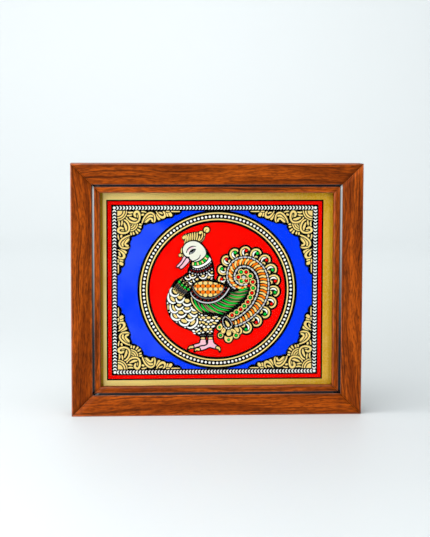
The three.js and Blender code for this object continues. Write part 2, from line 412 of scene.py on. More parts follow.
def gold_ground(look):
    """Matt gold laid in uneven sweeps, with painted shade: paler at the left and deeper towards the right,
    and olive stripes of painted shadow beside the frame's left and right lips."""
    f = Finish("gold_ground")
    place = f.object_place((1, 1, 1))
    across = f.axis(place, "X")
    sweep = f.noise(f.object_place((1, 1, 2.4)), scale=16, detail=2.0, roughness=0.5, distortion=0.4)
    grain = f.noise(place, scale=900, detail=2.0)
    # Painted shade: darker towards the right, broken up by the sweeps
    side = (across * 4.2 + sweep * 0.9).between(-0.05, 0.85)
    tone = f.mix(side, tuple(look.ground), tuple(look.deep_ground))
    tone = f.mix(grain.between(0.35, 0.7) * 0.2, tone, tuple(look.ground))
    # Painted shadow of the left and right lips
    tone = f.mix(across.between(*LEFT_LIP_SHADOW), tuple(look.lip_ground), tone)
    tone = f.mix(across.between(*RIGHT_LIP_SHADOW) * 0.75, tone, tuple(look.lip_ground))
    return f.set(base_color=tone, roughness=0.42 + grain * 0.12, specular_ior_level=0.1,
                 normal=f.bump(grain, strength=0.06, distance=0.0001))


def hardboard(look):
    """Pressed brown board with the mark of the wire screen on its back."""
    f = Finish("hardboard")
    place = f.object_place((1, 1, 1))
    fibre = f.noise(f.object_place((1, 1, 2.2), (0, 0.6, 0)), scale=420, detail=4.0, roughness=0.65)
    blot = f.noise(place, scale=38, detail=3.0)
    weave = {"wave_type": "BANDS", "wave_profile": "SIN"}
    rise = f.node("TexWave", {**weave, "bands_direction": "X"}, {"Vector": place, "Scale": 210}, "Fac")
    cross = f.node("TexWave", {**weave, "bands_direction": "Z"}, {"Vector": place, "Scale": 210}, "Fac")
    shade = np.array(look.board)
    tone = f.mix(fibre.between(0.35, 0.7), tuple(shade * 0.72), tuple(shade * 1.25))
    tone = f.mix(blot.between(0.5, 0.8) * 0.4, tone, tuple(shade * 0.6))
    return f.set(base_color=tone, roughness=0.78 + fibre * 0.12,
                 normal=f.bump(rise * cross + fibre * 0.5, strength=0.35, distance=0.00025))


def zinc_steel(look):
    """Bright zinc: rolled streaks, small spangles and a dull bloom in places."""
    f = Finish("zinc_steel")
    place = f.object_place((1, 1, 1))
    spangle = f.node("TexVoronoi", {"feature": "F1"}, {"Vector": place, "Scale": 700}, "Distance")
    rolled = f.noise(f.object_place((30, 30, 900)), scale=1.0, detail=3.0, roughness=0.6)
    bloom = f.noise(place, scale=160, detail=3.0)
    shade = np.array(look.steel)
    tone = f.mix(bloom.between(0.45, 0.7) * 0.6, tuple(shade), tuple(shade * 0.62))
    return f.set(base_color=tone, metallic=1.0, roughness=0.24 + bloom * 0.22 + rolled * 0.08,
                 normal=f.bump(spangle * 0.4 + rolled, strength=0.1, distance=0.0001))


def studio_paper(shade):
    """Matt paper, faintly mottled by noise."""
    f = Finish("studio_paper")
    mottle = f.noise(f.object_place((1, 1, 1)), scale=3.0, detail=3.0)
    tone = f.mix(mottle, tuple(shade), tuple(np.array(shade) * 0.985))
    return f.set(base_color=tone, roughness=0.5 + mottle * 0.06, specular_ior_level=0.3)


# Meshes


def new_piece(name, points, faces, materials, slots=None, smooth=True):
    """A mesh object at the origin. Points are in millimetres."""
    mesh = bpy.data.meshes.new(name)
    mesh.from_pydata((np.asarray(points, float) * MM).tolist(), [], faces)
    for material in materials:
        mesh.materials.append(material)
    if slots is not None:
        mesh.polygons.foreach_set("material_index", np.asarray(slots, np.int32))
    mesh.polygons.foreach_set("use_smooth", np.full(len(mesh.polygons), smooth))
    mesh.validate()
    piece = bpy.data.objects.new(name, mesh)
    bpy.context.scene.collection.objects.link(piece)
    return piece


def grid_faces(rows, columns, closed):
    """Quads between neighbours in a grid of points that is numbered row by row. A closed grid also joins
    the last column to the first."""
    row, column = np.meshgrid(np.arange(rows - 1), np.arange(columns if closed else columns - 1),
                              indexing="ij")
    after = (column + 1) % columns
    return np.stack([row * columns + column, row * columns + after, (row + 1) * columns + after,
                     (row + 1) * columns + column], -1).reshape(-1, 4)


def lengths(path):
    """Length along the path at each of its points."""
    return np.concatenate([[0], np.cumsum(np.linalg.norm(np.diff(path, axis=0), axis=1))])


def rectangle(half):
    """Corners of a rectangle round the middle, from its half width and half height."""
    return np.array([[-1, -1], [1, -1], [1, 1], [-1, 1]]) * half


def eased(corners, ease, steps):
    """A closed outline with its corners rounded over. Each corner is replaced by a parabola that leaves the
    edge before the corner and meets the edge after it, both at the corner's own ease distance."""
    corner = np.asarray(corners, float)[:, None]
    before = np.roll(corner, 1, 0) - corner
    after = np.roll(corner, -1, 0) - corner
    reach = np.asarray(ease, float)[:, None, None]
    start = corner + before / np.linalg.norm(before, axis=-1, keepdims=True) * reach
    end = corner + after / np.linalg.norm(after, axis=-1, keepdims=True) * reach
    t = np.linspace(0, 1, steps)[None, :, None]
    return ((1 - t) ** 2 * start + 2 * t * (1 - t) * corner + t ** 2 * end).reshape(-1, 2)


# Numbers of a rail's material slots
LACQUER, BLACK, BARE = 0, 1, 2


def moulding_section(look):
    """The moulding's corners, how far each is eased and the finish of the edge that follows it. x runs
    inward from the outer edge and y forward from the back."""
    face = MOULDING_DEPTH - FACE_FALL
    band = face - BAND_STEP
    floor = face - GROOVE_DEPTH
    shelf = band - LIP_DEPTH
    band_edge = MOULDING_WIDTH - BAND_WIDTH
    groove_edge = band_edge - GROOVE_WIDTH
    ease = look.edge_ease / MM
    section = [
        (0, 0, BACK_EASE, LACQUER),
        (0, MOULDING_DEPTH + FACE_RISE, ARRIS_EASE, LACQUER),
        (groove_edge, face, ease, BLACK),
        (groove_edge, floor, FLOOR_EASE, BLACK),
        (band_edge, floor, FLOOR_EASE, BLACK),
        (band_edge, band, ease * BAND_EASE_SHARE, LACQUER),
        (MOULDING_WIDTH, band, LIP_EASE, LACQUER),
        (MOULDING_WIDTH, shelf, SHELF_EASE, BARE),
        (LAND_WIDTH, shelf, LAND_EASE, BARE),
        (LAND_WIDTH, 0, RABBET_EASE, BARE),
    ]
    x, y, reach, finish = zip(*section)
    return np.stack([x, y], -1), reach, finish


def rail_mesh(name, side, look, materials):
    """One mitred rail. Its surface is a function of two parameters: the place on the moulding's section and
    the share of the way along the rail. At share s, from -1 to 1, a point that lies x inward of the outer
    edge stands s * (half length - x - mitre setback) along the rail, which cuts both ends at 45 degrees."""
    corners, reach, edge_finish = moulding_section(look)
    outline = eased(corners, reach, EASE_STEPS)
    ring = len(outline)
    half_length = OUTER_HALF[0] if side in (0, 2) else OUTER_HALF[1]
    half_across = OUTER_HALF[1] if side in (0, 2) else OUTER_HALF[0]
    setback = look.mitre_gap / MM / math.sqrt(2)
    share = np.linspace(-1, 1, RAIL_STATIONS)[:, None]
    along = share * (half_length - outline[None, :, 0] - setback)
    inward = np.broadcast_to(outline[None, :, 0] - half_across, along.shape)
    forward = np.broadcast_to(outline[None, :, 1], along.shape)
    turn = side * math.pi / 2
    x = along * math.cos(turn) - inward * math.sin(turn)
    z = along * math.sin(turn) + inward * math.cos(turn)
    points = np.stack([x, BACK_Y - forward, z + MIDDLE_Z], -1).reshape(-1, 3)
    quads = grid_faces(RAIL_STATIONS, ring, True)[:, [0, 3, 2, 1]]
    # A corner's own strips take the finish of the edge that follows, except at the groove's outer rim
    finish = np.repeat(edge_finish, EASE_STEPS)
    finish[GROOVE_RIM * EASE_STEPS:(GROOVE_RIM + 1) * EASE_STEPS - 1] = LACQUER
    slots = np.tile(finish, RAIL_STATIONS - 1)
    first = np.arange(ring)
    last = first[::-1] + (RAIL_STATIONS - 1) * ring
    piece = new_piece(name, points, [*quads.tolist(), first.tolist(), last.tolist()], materials,
                      np.concatenate([slots, [BARE, BARE]]))
    # 1 in the middle of a worn and painted-highlight corner's easing, and 0 where the easing ends
    arch = (1 - np.abs(np.linspace(-1, 1, EASE_STEPS))) ** 0.5
    wear_and_light_marks = np.zeros((len(corners), EASE_STEPS))
    for corner, share_worn in WORN_AND_HIGHLIGHT_CORNERS.items():
        wear_and_light_marks[corner] = arch * share_worn
    # On the stiles, the groove wall that gets the painted glint
    if side in PAINTED_GLINT_CORNERS:
        wear_and_light_marks[PAINTED_GLINT_CORNERS[side]] = 1
    wear_and_light_attribute = piece.data.attributes.new("edge", "FLOAT", "POINT")
    wear_and_light_attribute.data.foreach_set("value", np.tile(wear_and_light_marks.ravel(), RAIL_STATIONS))
    # The UV map is in decimetres, and each rail has its own stretch of the grain
    grid_u = along / DECIMETRE + side * GRAIN_SHIFT[0]
    grid_v = np.broadcast_to(lengths(outline) / DECIMETRE + side * GRAIN_SHIFT[1], along.shape)
    uv = np.stack([grid_u, grid_v], -1).reshape(-1, 2)
    layer = piece.data.uv_layers.new(name="grain")
    corner_of = np.empty(len(piece.data.loops), np.int32)
    piece.data.loops.foreach_get("vertex_index", corner_of)
    layer.data.foreach_set("uv", uv[corner_of].ravel())
    flat = np.zeros(len(piece.data.polygons), bool)
    flat[-2:] = True
    piece.data.polygons.foreach_set("use_smooth", ~flat)
    return piece


def pane_mesh(name, low, high, chamfer, materials):
    """A flat sheet with chamfered edges: four rectangles joined one to the next, the middle two at full
    size."""
    depth = np.array([low[1], low[1] + chamfer, high[1] - chamfer, high[1]])
    inset = np.array([chamfer, 0, 0, chamfer])[:, None, None]
    around = (high + low)[[0, 2]] / 2 + rectangle((high - low)[[0, 2]] / 2 - inset)
    depths = np.broadcast_to(depth[:, None], (4, 4))
    points = np.stack([around[..., 0], depths, around[..., 1]], -1).reshape(-1, 3)
    quads = grid_faces(4, 4, True)[:, [0, 3, 2, 1]]
    return new_piece(name, points, [[0, 1, 2, 3], [15, 14, 13, 12], *quads.tolist()], materials,
                     smooth=False)


def turned_mesh(name, centre, profile, count, materials):
    """A turned piece: each point of the profile, a radius and a distance along Y from the centre, is
    carried round the circle (radius cos t, distance, radius sin t)."""
    profile = np.asarray(profile, float)
    turn = np.linspace(0, 2 * np.pi, count, endpoint=False)
    radius, rise = profile[:, :1], profile[:, 1:]
    points = np.stack([centre[0] + radius * np.cos(turn), centre[1] + rise + 0 * turn,
                       centre[2] + radius * np.sin(turn)], -1).reshape(-1, 3)
    quads = grid_faces(len(profile), count, True)
    ends = [np.arange(count)[::-1].tolist(), (np.arange(count) + (len(profile) - 1) * count).tolist()]
    return new_piece(name, points, [*quads.tolist(), *ends], materials)


# Outlines and brush strokes of the picture


# Half width and half height from which the border's bands are inset, and the usual black line round a form
BORDER_HALF = np.array([71.1, 59.3])
INK = 0.48
# Steps of the half circle at a stroke's end
CAP_STEPS = 4
# A sharper corner grows no further out than one whose two normals have this cosine to their middle
LEAST_SPREAD = 0.6
# Keeps the length of an edge between two equal points above zero
SHORTEST_EDGE = 1e-9
# Points of two outlines that are closer than this, in millimetres, become one
MERGE_DISTANCE = 1e-4


def arc(centre, radius, start, end, count=18):
    """Points of a circle's arc between two angles in degrees: centre + radius (cos t, sin t)."""
    turn = np.radians(np.linspace(start, end, count))
    return np.asarray(centre, float) + radius * np.stack([np.cos(turn), np.sin(turn)], -1)


def on_circle(centre, radius, degrees):
    """The point of a circle at an angle."""
    return arc(centre, radius, degrees, degrees, 1)[0]


def turned(points, degrees):
    """Points turned to the left about the middle: (x cos a - z sin a, x sin a + z cos a)."""
    c, s = np.cos(np.radians(degrees)), np.sin(np.radians(degrees))
    return points @ np.array([[c, s], [-s, c]])


def disc(centre, radius, flat=1.0, lean=0.0, count=14):
    """An ellipse: a circle flattened by a factor and then leant by an angle."""
    local = arc((0, 0), radius, 0, 360, count + 1)[:-1] * (1, flat)
    return np.asarray(centre, float) + turned(local, lean)


def curve(points, closed=False, steps=6):
    """A smooth line through the points: between two of them a cubic whose slope at each point is half the
    step from the point before it to the point after it."""
    p = np.asarray(points, float)
    if closed:
        p = np.concatenate([p[-1:], p, p[:2]])
    else:
        p = np.concatenate([2 * p[:1] - p[1:2], p, 2 * p[-1:] - p[-2:-1]])
    a, b, c, d = p[:-3, None], p[1:-2, None], p[2:-1, None], p[3:, None]
    t = (np.arange(steps) / steps)[None, :, None]
    square, cube = 2 * a - 5 * b + 4 * c - d, 3 * b - a - 3 * c + d
    out = 0.5 * (2 * b + (c - a) * t + square * t ** 2 + cube * t ** 3)
    out = out.reshape(-1, 2)
    return out if closed else np.concatenate([out, p[-2:-1]])


def blob(points, steps=5):
    """A smooth closed outline through the points."""
    return curve(points, True, steps)


def lobed(points, bulge, steps=6):
    """A line through the points that swells to its right between each two of them, by a parabola whose
    height is the bulge times their distance."""
    p = np.asarray(points, float)
    t = (np.arange(steps) / steps)[None, :, None]
    way = np.diff(p, axis=0)[:, None]
    right = np.stack([way[..., 1], -way[..., 0]], -1)
    out = p[:-1, None] + way * t + right * (4 * bulge * t * (1 - t))
    return np.concatenate([out.reshape(-1, 2), p[-1:]])


def at(path, share):
    """Points at shares of a path's length, by straight lines between the path's own points."""
    run = lengths(path)
    share = np.asarray(share, float) * run[-1]
    return np.stack([np.interp(share, run, path[:, k]) for k in (0, 1)], -1)


def at_number(path, number):
    """Points at fractional numbers of a path's points, by straight lines between them."""
    return np.stack([np.interp(number, np.arange(len(path)), path[:, k]) for k in (0, 1)], -1)


def spaced(path, pitch, margin=0.0):
    """Shares of the length, evenly spaced at about the pitch."""
    total = lengths(path)[-1]
    count = max(2, int(round((total - 2 * margin) / pitch)) + 1)
    return np.linspace(margin, total - margin, count) / total


def normals(path):
    """Unit vectors to the left of the path."""
    step = np.gradient(path, axis=0)
    step /= np.linalg.norm(step, axis=1, keepdims=True)
    return np.stack([-step[:, 1], step[:, 0]], -1)


def ribbon(path, width):
    """A brush stroke: the path moved by half the width to each side, with half circles at its ends. A row
    of widths is spread evenly over its length."""
    path = np.asarray(path, float)
    share = lengths(path) / lengths(path)[-1]
    widths = np.atleast_1d(np.asarray(width, float))
    half = np.interp(share, np.linspace(0, 1, len(widths)), widths / 2)
    side = normals(path)
    first, last = np.arctan2(*side[0, ::-1]), np.arctan2(*side[-1, ::-1])
    cap = np.pi * np.arange(1, CAP_STEPS) / CAP_STEPS
    ends = [point + size * np.stack([np.cos(turn), np.sin(turn)], -1) for point, size, turn in (
        (path[-1], half[-1], last - cap), (path[0], half[0], first + np.pi - cap))]
    reach = side * half[:, None]
    return np.concatenate([path + reach, ends[0], (path - reach)[::-1], ends[1]])


def grown(outline, margin):
    """The outline moved outwards by the margin: each point goes along the middle of its two edges' normals,
    by the margin over the cosine of half the angle between them."""
    p = np.asarray(outline, float)
    edge = np.roll(p, -1, 0) - p
    edge /= np.maximum(np.linalg.norm(edge, axis=1, keepdims=True), SHORTEST_EDGE)
    area = np.sum(p[:, 0] * np.roll(p[:, 1], -1) - np.roll(p[:, 0], -1) * p[:, 1])
    out = np.stack([edge[:, 1], -edge[:, 0]], -1) * np.sign(area)
    both = out + np.roll(out, 1, 0)
    both /= np.maximum(np.linalg.norm(both, axis=1, keepdims=True), SHORTEST_EDGE)
    spread = np.maximum(np.sum(both * out, -1, keepdims=True), LEAST_SPREAD)
    return p + both / spread * margin


def inside(points, outline):
    """Whether each point is inside the outline: a level line from it crosses rising and falling edges
    unequally."""
    x, z = points[:, 0, None], points[:, 1, None]
    a, b = outline, np.roll(outline, -1, 0)
    side = (b[:, 0] - a[:, 0]) * (z - a[:, 1]) - (x - a[:, 0]) * (b[:, 1] - a[:, 1])
    up = (a[:, 1] <= z) & (b[:, 1] > z) & (side > 0)
    down = (a[:, 1] > z) & (b[:, 1] <= z) & (side < 0)
    return up.sum(1) != down.sum(1)


class Painting:
    """The picture's coats in the order of painting. Each has a paint, an outline and the outline that cuts
    it off, if any. Places are in millimetres from the middle of the border, and the shift carries them to
    the middle of the sheet. Each move makes a copy of what is painted."""

    def __init__(self, shift):
        self.shift = shift
        self.coats = []
        self.limits = []
        self.limit = None
        self.moves = [lambda points: points]

    def keep_within(self, outline):
        """Cuts off the coats that follow at the outline."""
        self.limit = self.moves[0](outline) + self.shift
        self.limits.append(self.limit)

    def fill(self, paint, outline):
        """A coat over the outline's whole inside."""
        for move in self.moves:
            self.coats.append((paint, move(np.asarray(outline, float)) + self.shift, self.limit))

    def rings(self, centre, sizes, count):
        """Discs of several paints and radii, one on another."""
        for paint, radius in sizes:
            self.fill(paint, disc(centre, radius, count=count))

    def inked(self, paint, outline, ink=INK):
        """A coat with a black line round it."""
        self.fill("black", grown(outline, ink))
        self.fill(paint, outline)

    def line(self, paint, path, width, ink=0.0):
        """A brush stroke along the path, with a black line round it if ink is given."""
        if ink:
            self.fill("black", ribbon(path, np.asarray(width, float) + 2 * ink))
        self.fill(paint, ribbon(path, width))

    def stroke(self, paint, points, width, ink=0.0, steps=6):
        """A brush stroke along the smooth line through the points."""
        self.line(paint, curve(points, steps=steps), width, ink)

    def dots(self, paint, path, radius, pitch, margin):
        """Round dots along the path."""
        for place in at(path, spaced(path, pitch, margin)):
            self.fill(paint, disc(place, radius, count=8))


# Border


BANDS = (("black", -0.15), ("red", 0.85), ("black", 3.05), ("blue", 7.2))


def draw_border(p):
    """Black, red and black bands round the blue field, one inside the other."""
    for paint, inset in BANDS:
        p.fill(paint, rectangle(BORDER_HALF - inset))


CHEVRON = np.array([(-0.85, -1.2), (0.05, -1.15), (0.62, -0.58), (0.88, 0), (0.62, 0.58), (0.05, 1.15),
                    (-0.85, 1.2), (-0.4, 0.6), (0.0, 0), (-0.4, -0.6)])
CHEVRON_INSET = 5.12
CHEVRON_PITCH = 2.075


def draw_chevrons(p):
    """White chevrons that follow each other round the black band."""
    half = BORDER_HALF - CHEVRON_INSET
    corners = [(-1, -1), (-1, 1), (1, 1), (1, -1)]
    for corner, following in zip(corners, corners[1:] + corners[:1]):
        start, end = corner * half, following * half
        way = end - start
        count = int(round(np.linalg.norm(way) / CHEVRON_PITCH))
        lean = np.degrees(np.arctan2(way[1], way[0]))
        for share in np.arange(1, count) / count:
            p.fill("white", start + way * share + turned(CHEVRON, lean))
        p.fill("white", disc(start, 0.95, count=12))


# Roundel


ROUNDEL = (1.4, -0.1)
OUTER_RINGS = (("black", 52.6), ("gold", 51.05), ("black", 50.2))
INNER_RINGS = (("gold", 46.9), ("black", 46.05), ("red", 44.45))
BEADS = 120
BEAD_CIRCLE = 48.5
BEAD_RADIUS = 0.8


def draw_roundel(p):
    """The red disc in two gold rings with a ring of white beads between them."""
    p.rings(ROUNDEL, OUTER_RINGS, 180)
    for place in arc(ROUNDEL, BEAD_CIRCLE, 0, 360, BEADS + 1)[:-1]:
        p.fill("white", disc(place, BEAD_RADIUS, count=10))
    p.rings(ROUNDEL, INNER_RINGS, 180)


# Corners of the field: x and z run from the corner along its two sides, and all is mirrored in the diagonal


# Line and widths of each scroll
SCROLLS = (
    ([(7.0, 0.9), (8.4, 1.2), (9.8, 0.9)], (0.9, 1.3, 0.9)),
    ([(6.6, 3.1), (8.0, 3.0), (9.3, 2.7)], (0.9, 1.2, 0.8)),
    ([(11.7, 3.6), (11.1, 2.4), (11.4, 1.2), (12.4, 0.5), (13.5, 0.7), (14.3, 2.2), (14.5, 4.4),
      (13.9, 6.4), (12.4, 7.6), (10.4, 7.7), (8.2, 7.0), (6.6, 5.8), (5.9, 4.5)],
     (1.2, 1.6, 1.6, 1.5, 1.4, 1.3, 1.2, 1.2, 1.2, 1.2, 1.2, 1.2, 0.9)),
    ([(8.0, 4.4), (9.4, 5.0), (11.0, 5.6), (12.5, 5.7)], (0.9, 1.5, 1.6, 0.9)),
    ([(12.9, 2.6), (13.0, 4.2)], (0.5, 0.6)),
    ([(16.1, 2.6), (16.8, 2.4)], (1.3, 1.4)),
    ([(15.8, 0.4), (17.2, 0.5), (18.6, 0.9)], (0.8, 1.0, 0.7)),
    ([(16.1, 7.9), (16.9, 5.6), (18.5, 3.1), (20.5, 1.5), (22.2, 1.3), (23.6, 2.3), (24.3, 4.2),
      (24.4, 6.2), (23.9, 7.3)], (0.8, 1.0, 1.1, 1.2, 1.2, 1.2, 1.2, 1.2, 0.9)),
    ([(17.7, 7.4), (18.7, 5.4), (20.2, 3.9), (21.4, 3.2), (22.8, 3.4)], (0.9, 0.9, 0.9, 1.4, 1.2)),
    ([(18.6, 7.2), (19.8, 6.1), (21.2, 5.1), (22.3, 5.4), (22.9, 6.7)], (1.3, 1.6, 1.2, 1.3, 1.3)),
    ([(25.3, 2.2), (26.2, 3.8), (27.1, 5.1)], (0.6, 1.3, 2.0)),
    ([(25.4, 0.4), (26.6, 2.3), (28.2, 3.9), (29.8, 4.3), (30.9, 3.4), (31.0, 1.8), (30.0, 0.6)],
     (0.7, 0.9, 1.3, 1.7, 1.6, 1.4, 1.0)),
    ([(27.2, 1.0), (28.2, 1.3), (29.2, 1.8)], (0.8, 1.2, 0.9)),
    ([(32.2, 1.6), (32.7, 3.2)], (1.0, 1.3)),
    ([(34.0, 1.6), (34.8, 2.8)], (1.9, 2.2)),
    ([(32.0, 0.35), (33.8, 0.4)], (0.8, 0.8)),
    ([(35.4, 0.4), (38.0, 0.5), (40.6, 0.4)], (0.8, 0.8, 0.6)))
# Points between the lobes of the black ground's edge
SCROLL_EDGE = [(41.8, -0.2), (41.0, 1.4), (37.0, 1.7), (36.5, 3.6), (34.9, 4.5), (33.5, 4.4), (32.2, 4.5),
               (30.8, 5.2), (28.6, 5.9), (27.3, 6.7), (25.4, 6.9), (23.9, 8.0), (21.6, 7.6), (19.8, 8.2),
               (17.0, 8.8), (16.5, 10.0), (16.2, 11.7), (15.3, 12.6), (14.4, 14.4)]
CORNER_RINGS = (("gold", 6.35), ("black", 5.65), ("gold", 5.0), ("black", 4.0), ("gold", 3.3))
HEART = (8.5, 8.5)
HEART_RINGS = (("black", 5.45), ("gold", 4.85), ("black", 4.1), ("gold", 3.5))
# Angle of each rib round the heart and the radius at its tip
RIBS = ((3, 6.9), (18, 6.9), (37, 7.5), (53, 7.5), (72, 6.9), (87, 6.9))
FIELD_INSET = 7.1


def draw_corner(p):
    """Gold scrolls, a ribbed heart on the diagonal and quarter rings in the corner, with black lines."""
    edge = lobed(SCROLL_EDGE, bulge=0.22)
    p.fill("black", grown(np.concatenate([edge, edge[::-1, ::-1], [(-0.2, -0.2)]]), 0.35))
    for paint, radius in CORNER_RINGS:
        p.fill(paint, np.concatenate([[(0, 0)], arc((0, 0), radius, 0, 90)]))
    for turn, reach in RIBS:
        p.line("gold", [on_circle(HEART, 5.9, turn), on_circle(HEART, reach, turn)], (0.9, 1.25), ink=0.5)
    for paint, radius in HEART_RINGS:
        p.fill(paint, np.concatenate([[HEART], arc(HEART, radius, -14, 104)]))
    p.line("black", arc(HEART, 2.4, -20, 110, 12), 0.6)
    p.fill("black", disc(np.add(HEART, 0.7), 0.6))
    for path, widths in SCROLLS:
        for side in (1, -1):
            p.line("gold", curve(path, steps=5)[:, ::side], np.add(widths, -0.08), ink=0.5)


def draw_corners(p):
    """The same corner four times, mirrored from left to right and from top to bottom."""
    field = BORDER_HALF - FIELD_INSET
    p.moves = [lambda points, way=np.array([x, z]): way * (field - points) for x in (-1, 1) for z in (-1, 1)]
    draw_corner(p)


# Tail: a band that runs in a spiral round a run of dots. Lines beside the run are given by their distance
# from it at each dot.


RUN = [(20.4, 6.0), (17.3, 5.7), (15.2, 8.3), (17.0, 11.7), (20.3, 11.6), (23.1, 9.0), (24.7, 5.1),
       (25.0, 1.1), (24.2, -2.2), (23.1, -5.2), (21.5, -8.2), (19.2, -10.8), (16.8, -13.0), (14.1, -15.0),
       (11.1, -16.9), (8.4, -18.4)]
LAST_DOT = len(RUN) - 1
# Distance of the two dashed lines from each dot
INNER_LINE = np.array([2.5, 2.3, 2.6, 3.2, 3.6, 3.8, 3.6, 3.3, 3.5, 3.4, 3.2, 3.2, 3.2, 3.2, 2.9, 2.4])
OUTER_LINE = np.array([4.4, 6.2, 7.4, 9.1, 10.0, 10.5, 10.4, 10.2, 10.4, 10.1, 9.4, 9.1, 8.8, 8.5, 7.8, 7.0])
CURLS = 14
# Places of the curls as shares of the rim: a start, a step and a slow growth of the step
CURL_START, CURL_STEP, CURL_GROWTH = 0.083, 0.0537, 0.00084
# Strokes of one curl
HOOD = [(-2.7, 0.4), (-3.2, 2.2), (-2.9, 4.2), (-1.5, 5.7), (0.7, 6.1), (2.6, 4.9), (3.1, 2.8), (3.1, 0.9)]
COMMA = [(-0.9, 0.7), (-1.6, 2.0), (-1.5, 3.5), (-0.5, 4.7)]
HOOK = [(0.2, 0.7), (1.0, 1.5), (2.0, 1.1)]
# The bars: the pitch in millimetres, how many points of the band's line each end is moved for the slant, and
# the bow as a share of the length
BAR_PITCH = 1.93
BAR_SLANT = 1.5
BAR_BOW = 0.12
BAND_POINTS = 300
# Middle of the spiral's eye and the angles of the dots round it
EYE = (18.7, 8.4)
EYE_TURNS = (20, 80, 200, 260, 320)


def tail_line(distance, first=0.0, count=120):
    """A line beside the run of dots: each point of the smooth run is moved to its left by the distance,
    which is given once or for each dot. It starts at the dot numbered first and ends at the last one."""
    run = curve(RUN, steps=10)
    dot = np.linspace(0, LAST_DOT, len(run))
    aside = np.interp(dot, np.arange(len(RUN)), np.broadcast_to(distance, len(RUN)))
    line = run + normals(run) * aside[:, None]
    number = np.linspace(first, LAST_DOT, count)
    return np.stack([np.interp(number, dot, line[:, k]) for k in (0, 1)], -1)


def draw_dashes(p, path, dash, gap, width):
    """Silver dashes on a fine grey line."""
    p.line("grey", path, 0.42)
    length = dash / lengths(path)[-1]
    for share in spaced(path, dash + gap)[:-1]:
        p.line("silver", at(path, np.linspace(share, share + length, 4)), width)


def draw_curl(p, foot, out, size, paint):
    """One curl: x runs along the band and y outwards from it."""
    axes = np.array([(out[1], -out[0]), out]) * size
    hood = curve(HOOD, steps=4) @ axes
    p.fill("black", np.concatenate([[foot], foot + grown(hood, 1.85)]))
    p.line("gold", foot + hood, (0.75, 1.0, 1.1, 1.1, 1.0, 0.75))
    p.line("white", foot + curve(COMMA, steps=4) @ axes, (0.5, 1.05, 1.15, 0.4))
    p.line("gold", foot + curve(HOOK, steps=3) @ axes, (0.7, 1.0, 0.7))
    p.fill(paint, disc(foot + (0.7, 3.8) @ axes, 0.88))


def draw_curls(p):
    """Curls along the outside of the band, the first ones smaller."""
    rim = tail_line(OUTER_LINE + 0.7, 1.3)
    number = np.arange(CURLS)
    shares = CURL_START + CURL_STEP * number + CURL_GROWTH * number ** 2
    ahead = at(rim, shares + 0.004) - at(rim, shares - 0.004)
    ahead /= np.linalg.norm(ahead, axis=1, keepdims=True)
    for i, (foot, way) in enumerate(zip(at(rim, shares), ahead)):
        draw_curl(p, foot, np.array([-way[1], way[0]]), min(1.0, 0.82 + 0.03 * i),
                  "green" if i % 2 else "red")


def draw_bars(p):
    """Bars in turn orange and gold across the band. They slant, and each bows to one side."""
    low = tail_line(INNER_LINE + 1.75, count=BAND_POINTS)
    high = tail_line(OUTER_LINE - 1.5, count=BAND_POINTS)
    middle = (low + high) / 2
    share = lengths(middle) / lengths(middle)[-1]
    bars = np.interp(spaced(middle, BAR_PITCH, 1.0), share, np.arange(BAND_POINTS))
    for i, k in enumerate(bars[::-1]):
        foot, tip = at_number(low, k - BAR_SLANT), at_number(high, k + BAR_SLANT)
        bow = (foot + tip) / 2 + (tip - foot)[::-1] * (-BAR_BOW, BAR_BOW)
        p.stroke("gold" if i % 2 else "orange", [foot, bow, tip], (0.95, 1.3, 1.4), steps=3)


def draw_tail(p):
    """Curls along the outside, two dashed lines with bars between them, and ringed dots along the run."""
    draw_curls(p)
    p.fill("black", np.concatenate([tail_line(OUTER_LINE + 0.8, 1.0), tail_line(-2.3, 5.0)[::-1]]))
    p.fill("black", disc((18.9, 8.6), 6.5))
    p.fill("black", blob([(7.0, 6.5), (11.5, 6.0), (16, 2.6), (15, -1.0), (9, -1.0), (6.0, 2.5)], steps=6))
    draw_dashes(p, tail_line(OUTER_LINE, 1.2), dash=1.6, gap=1.3, width=0.85)
    draw_dashes(p, tail_line(INNER_LINE), dash=1.7, gap=1.2, width=0.95)
    draw_bars(p)
    for paint, radius in (("gold", 1.95), ("black", 1.4)):
        for place in RUN[:-1]:
            p.fill(paint, disc(place, radius))
    for i, place in enumerate(RUN[:-1]):
        p.fill("green" if i % 2 else "red", disc(place, 0.86, count=12))
    p.fill("silver", disc((18.7, 8.2), 1.15, flat=0.9))
    for turn in EYE_TURNS:
        p.fill("gold", disc(on_circle(EYE, 2.3, turn), 0.4, count=8))


# Feathers: foot and tip of each green stroke, from the left one round to the top one


FEATHERS = [((-13.8, -6.6), (-8.8, -14.2)), ((-9.2, -9.6), (-4.4, -14.7)), ((-5.4, -9.8), (5.0, -16.0)),
            ((-2.2, -9.4), (9.0, -13.8)), ((1.3, -8.3), (12.0, -11.2)), ((4.6, -6.7), (14.8, -9.0)),
            ((7.4, -5.4), (17.2, -6.5)), ((9.4, -3.8), (19.3, -4.4)), ((10.4, -1.8), (21.0, -1.9)),
            ((10.4, 0.3), (21.5, 0.8))]
# Numbers of the strokes that have only the dark green
SHADED = (6, 8)
FEATHER_BOW = 0.085


def bowed(foot, tip):
    """A line from foot to tip that bows to the lower left by a share of its length."""
    way = tip - foot
    return curve([foot, (foot + tip) / 2 + way[::-1] * (FEATHER_BOW, -FEATHER_BOW), tip], steps=5)


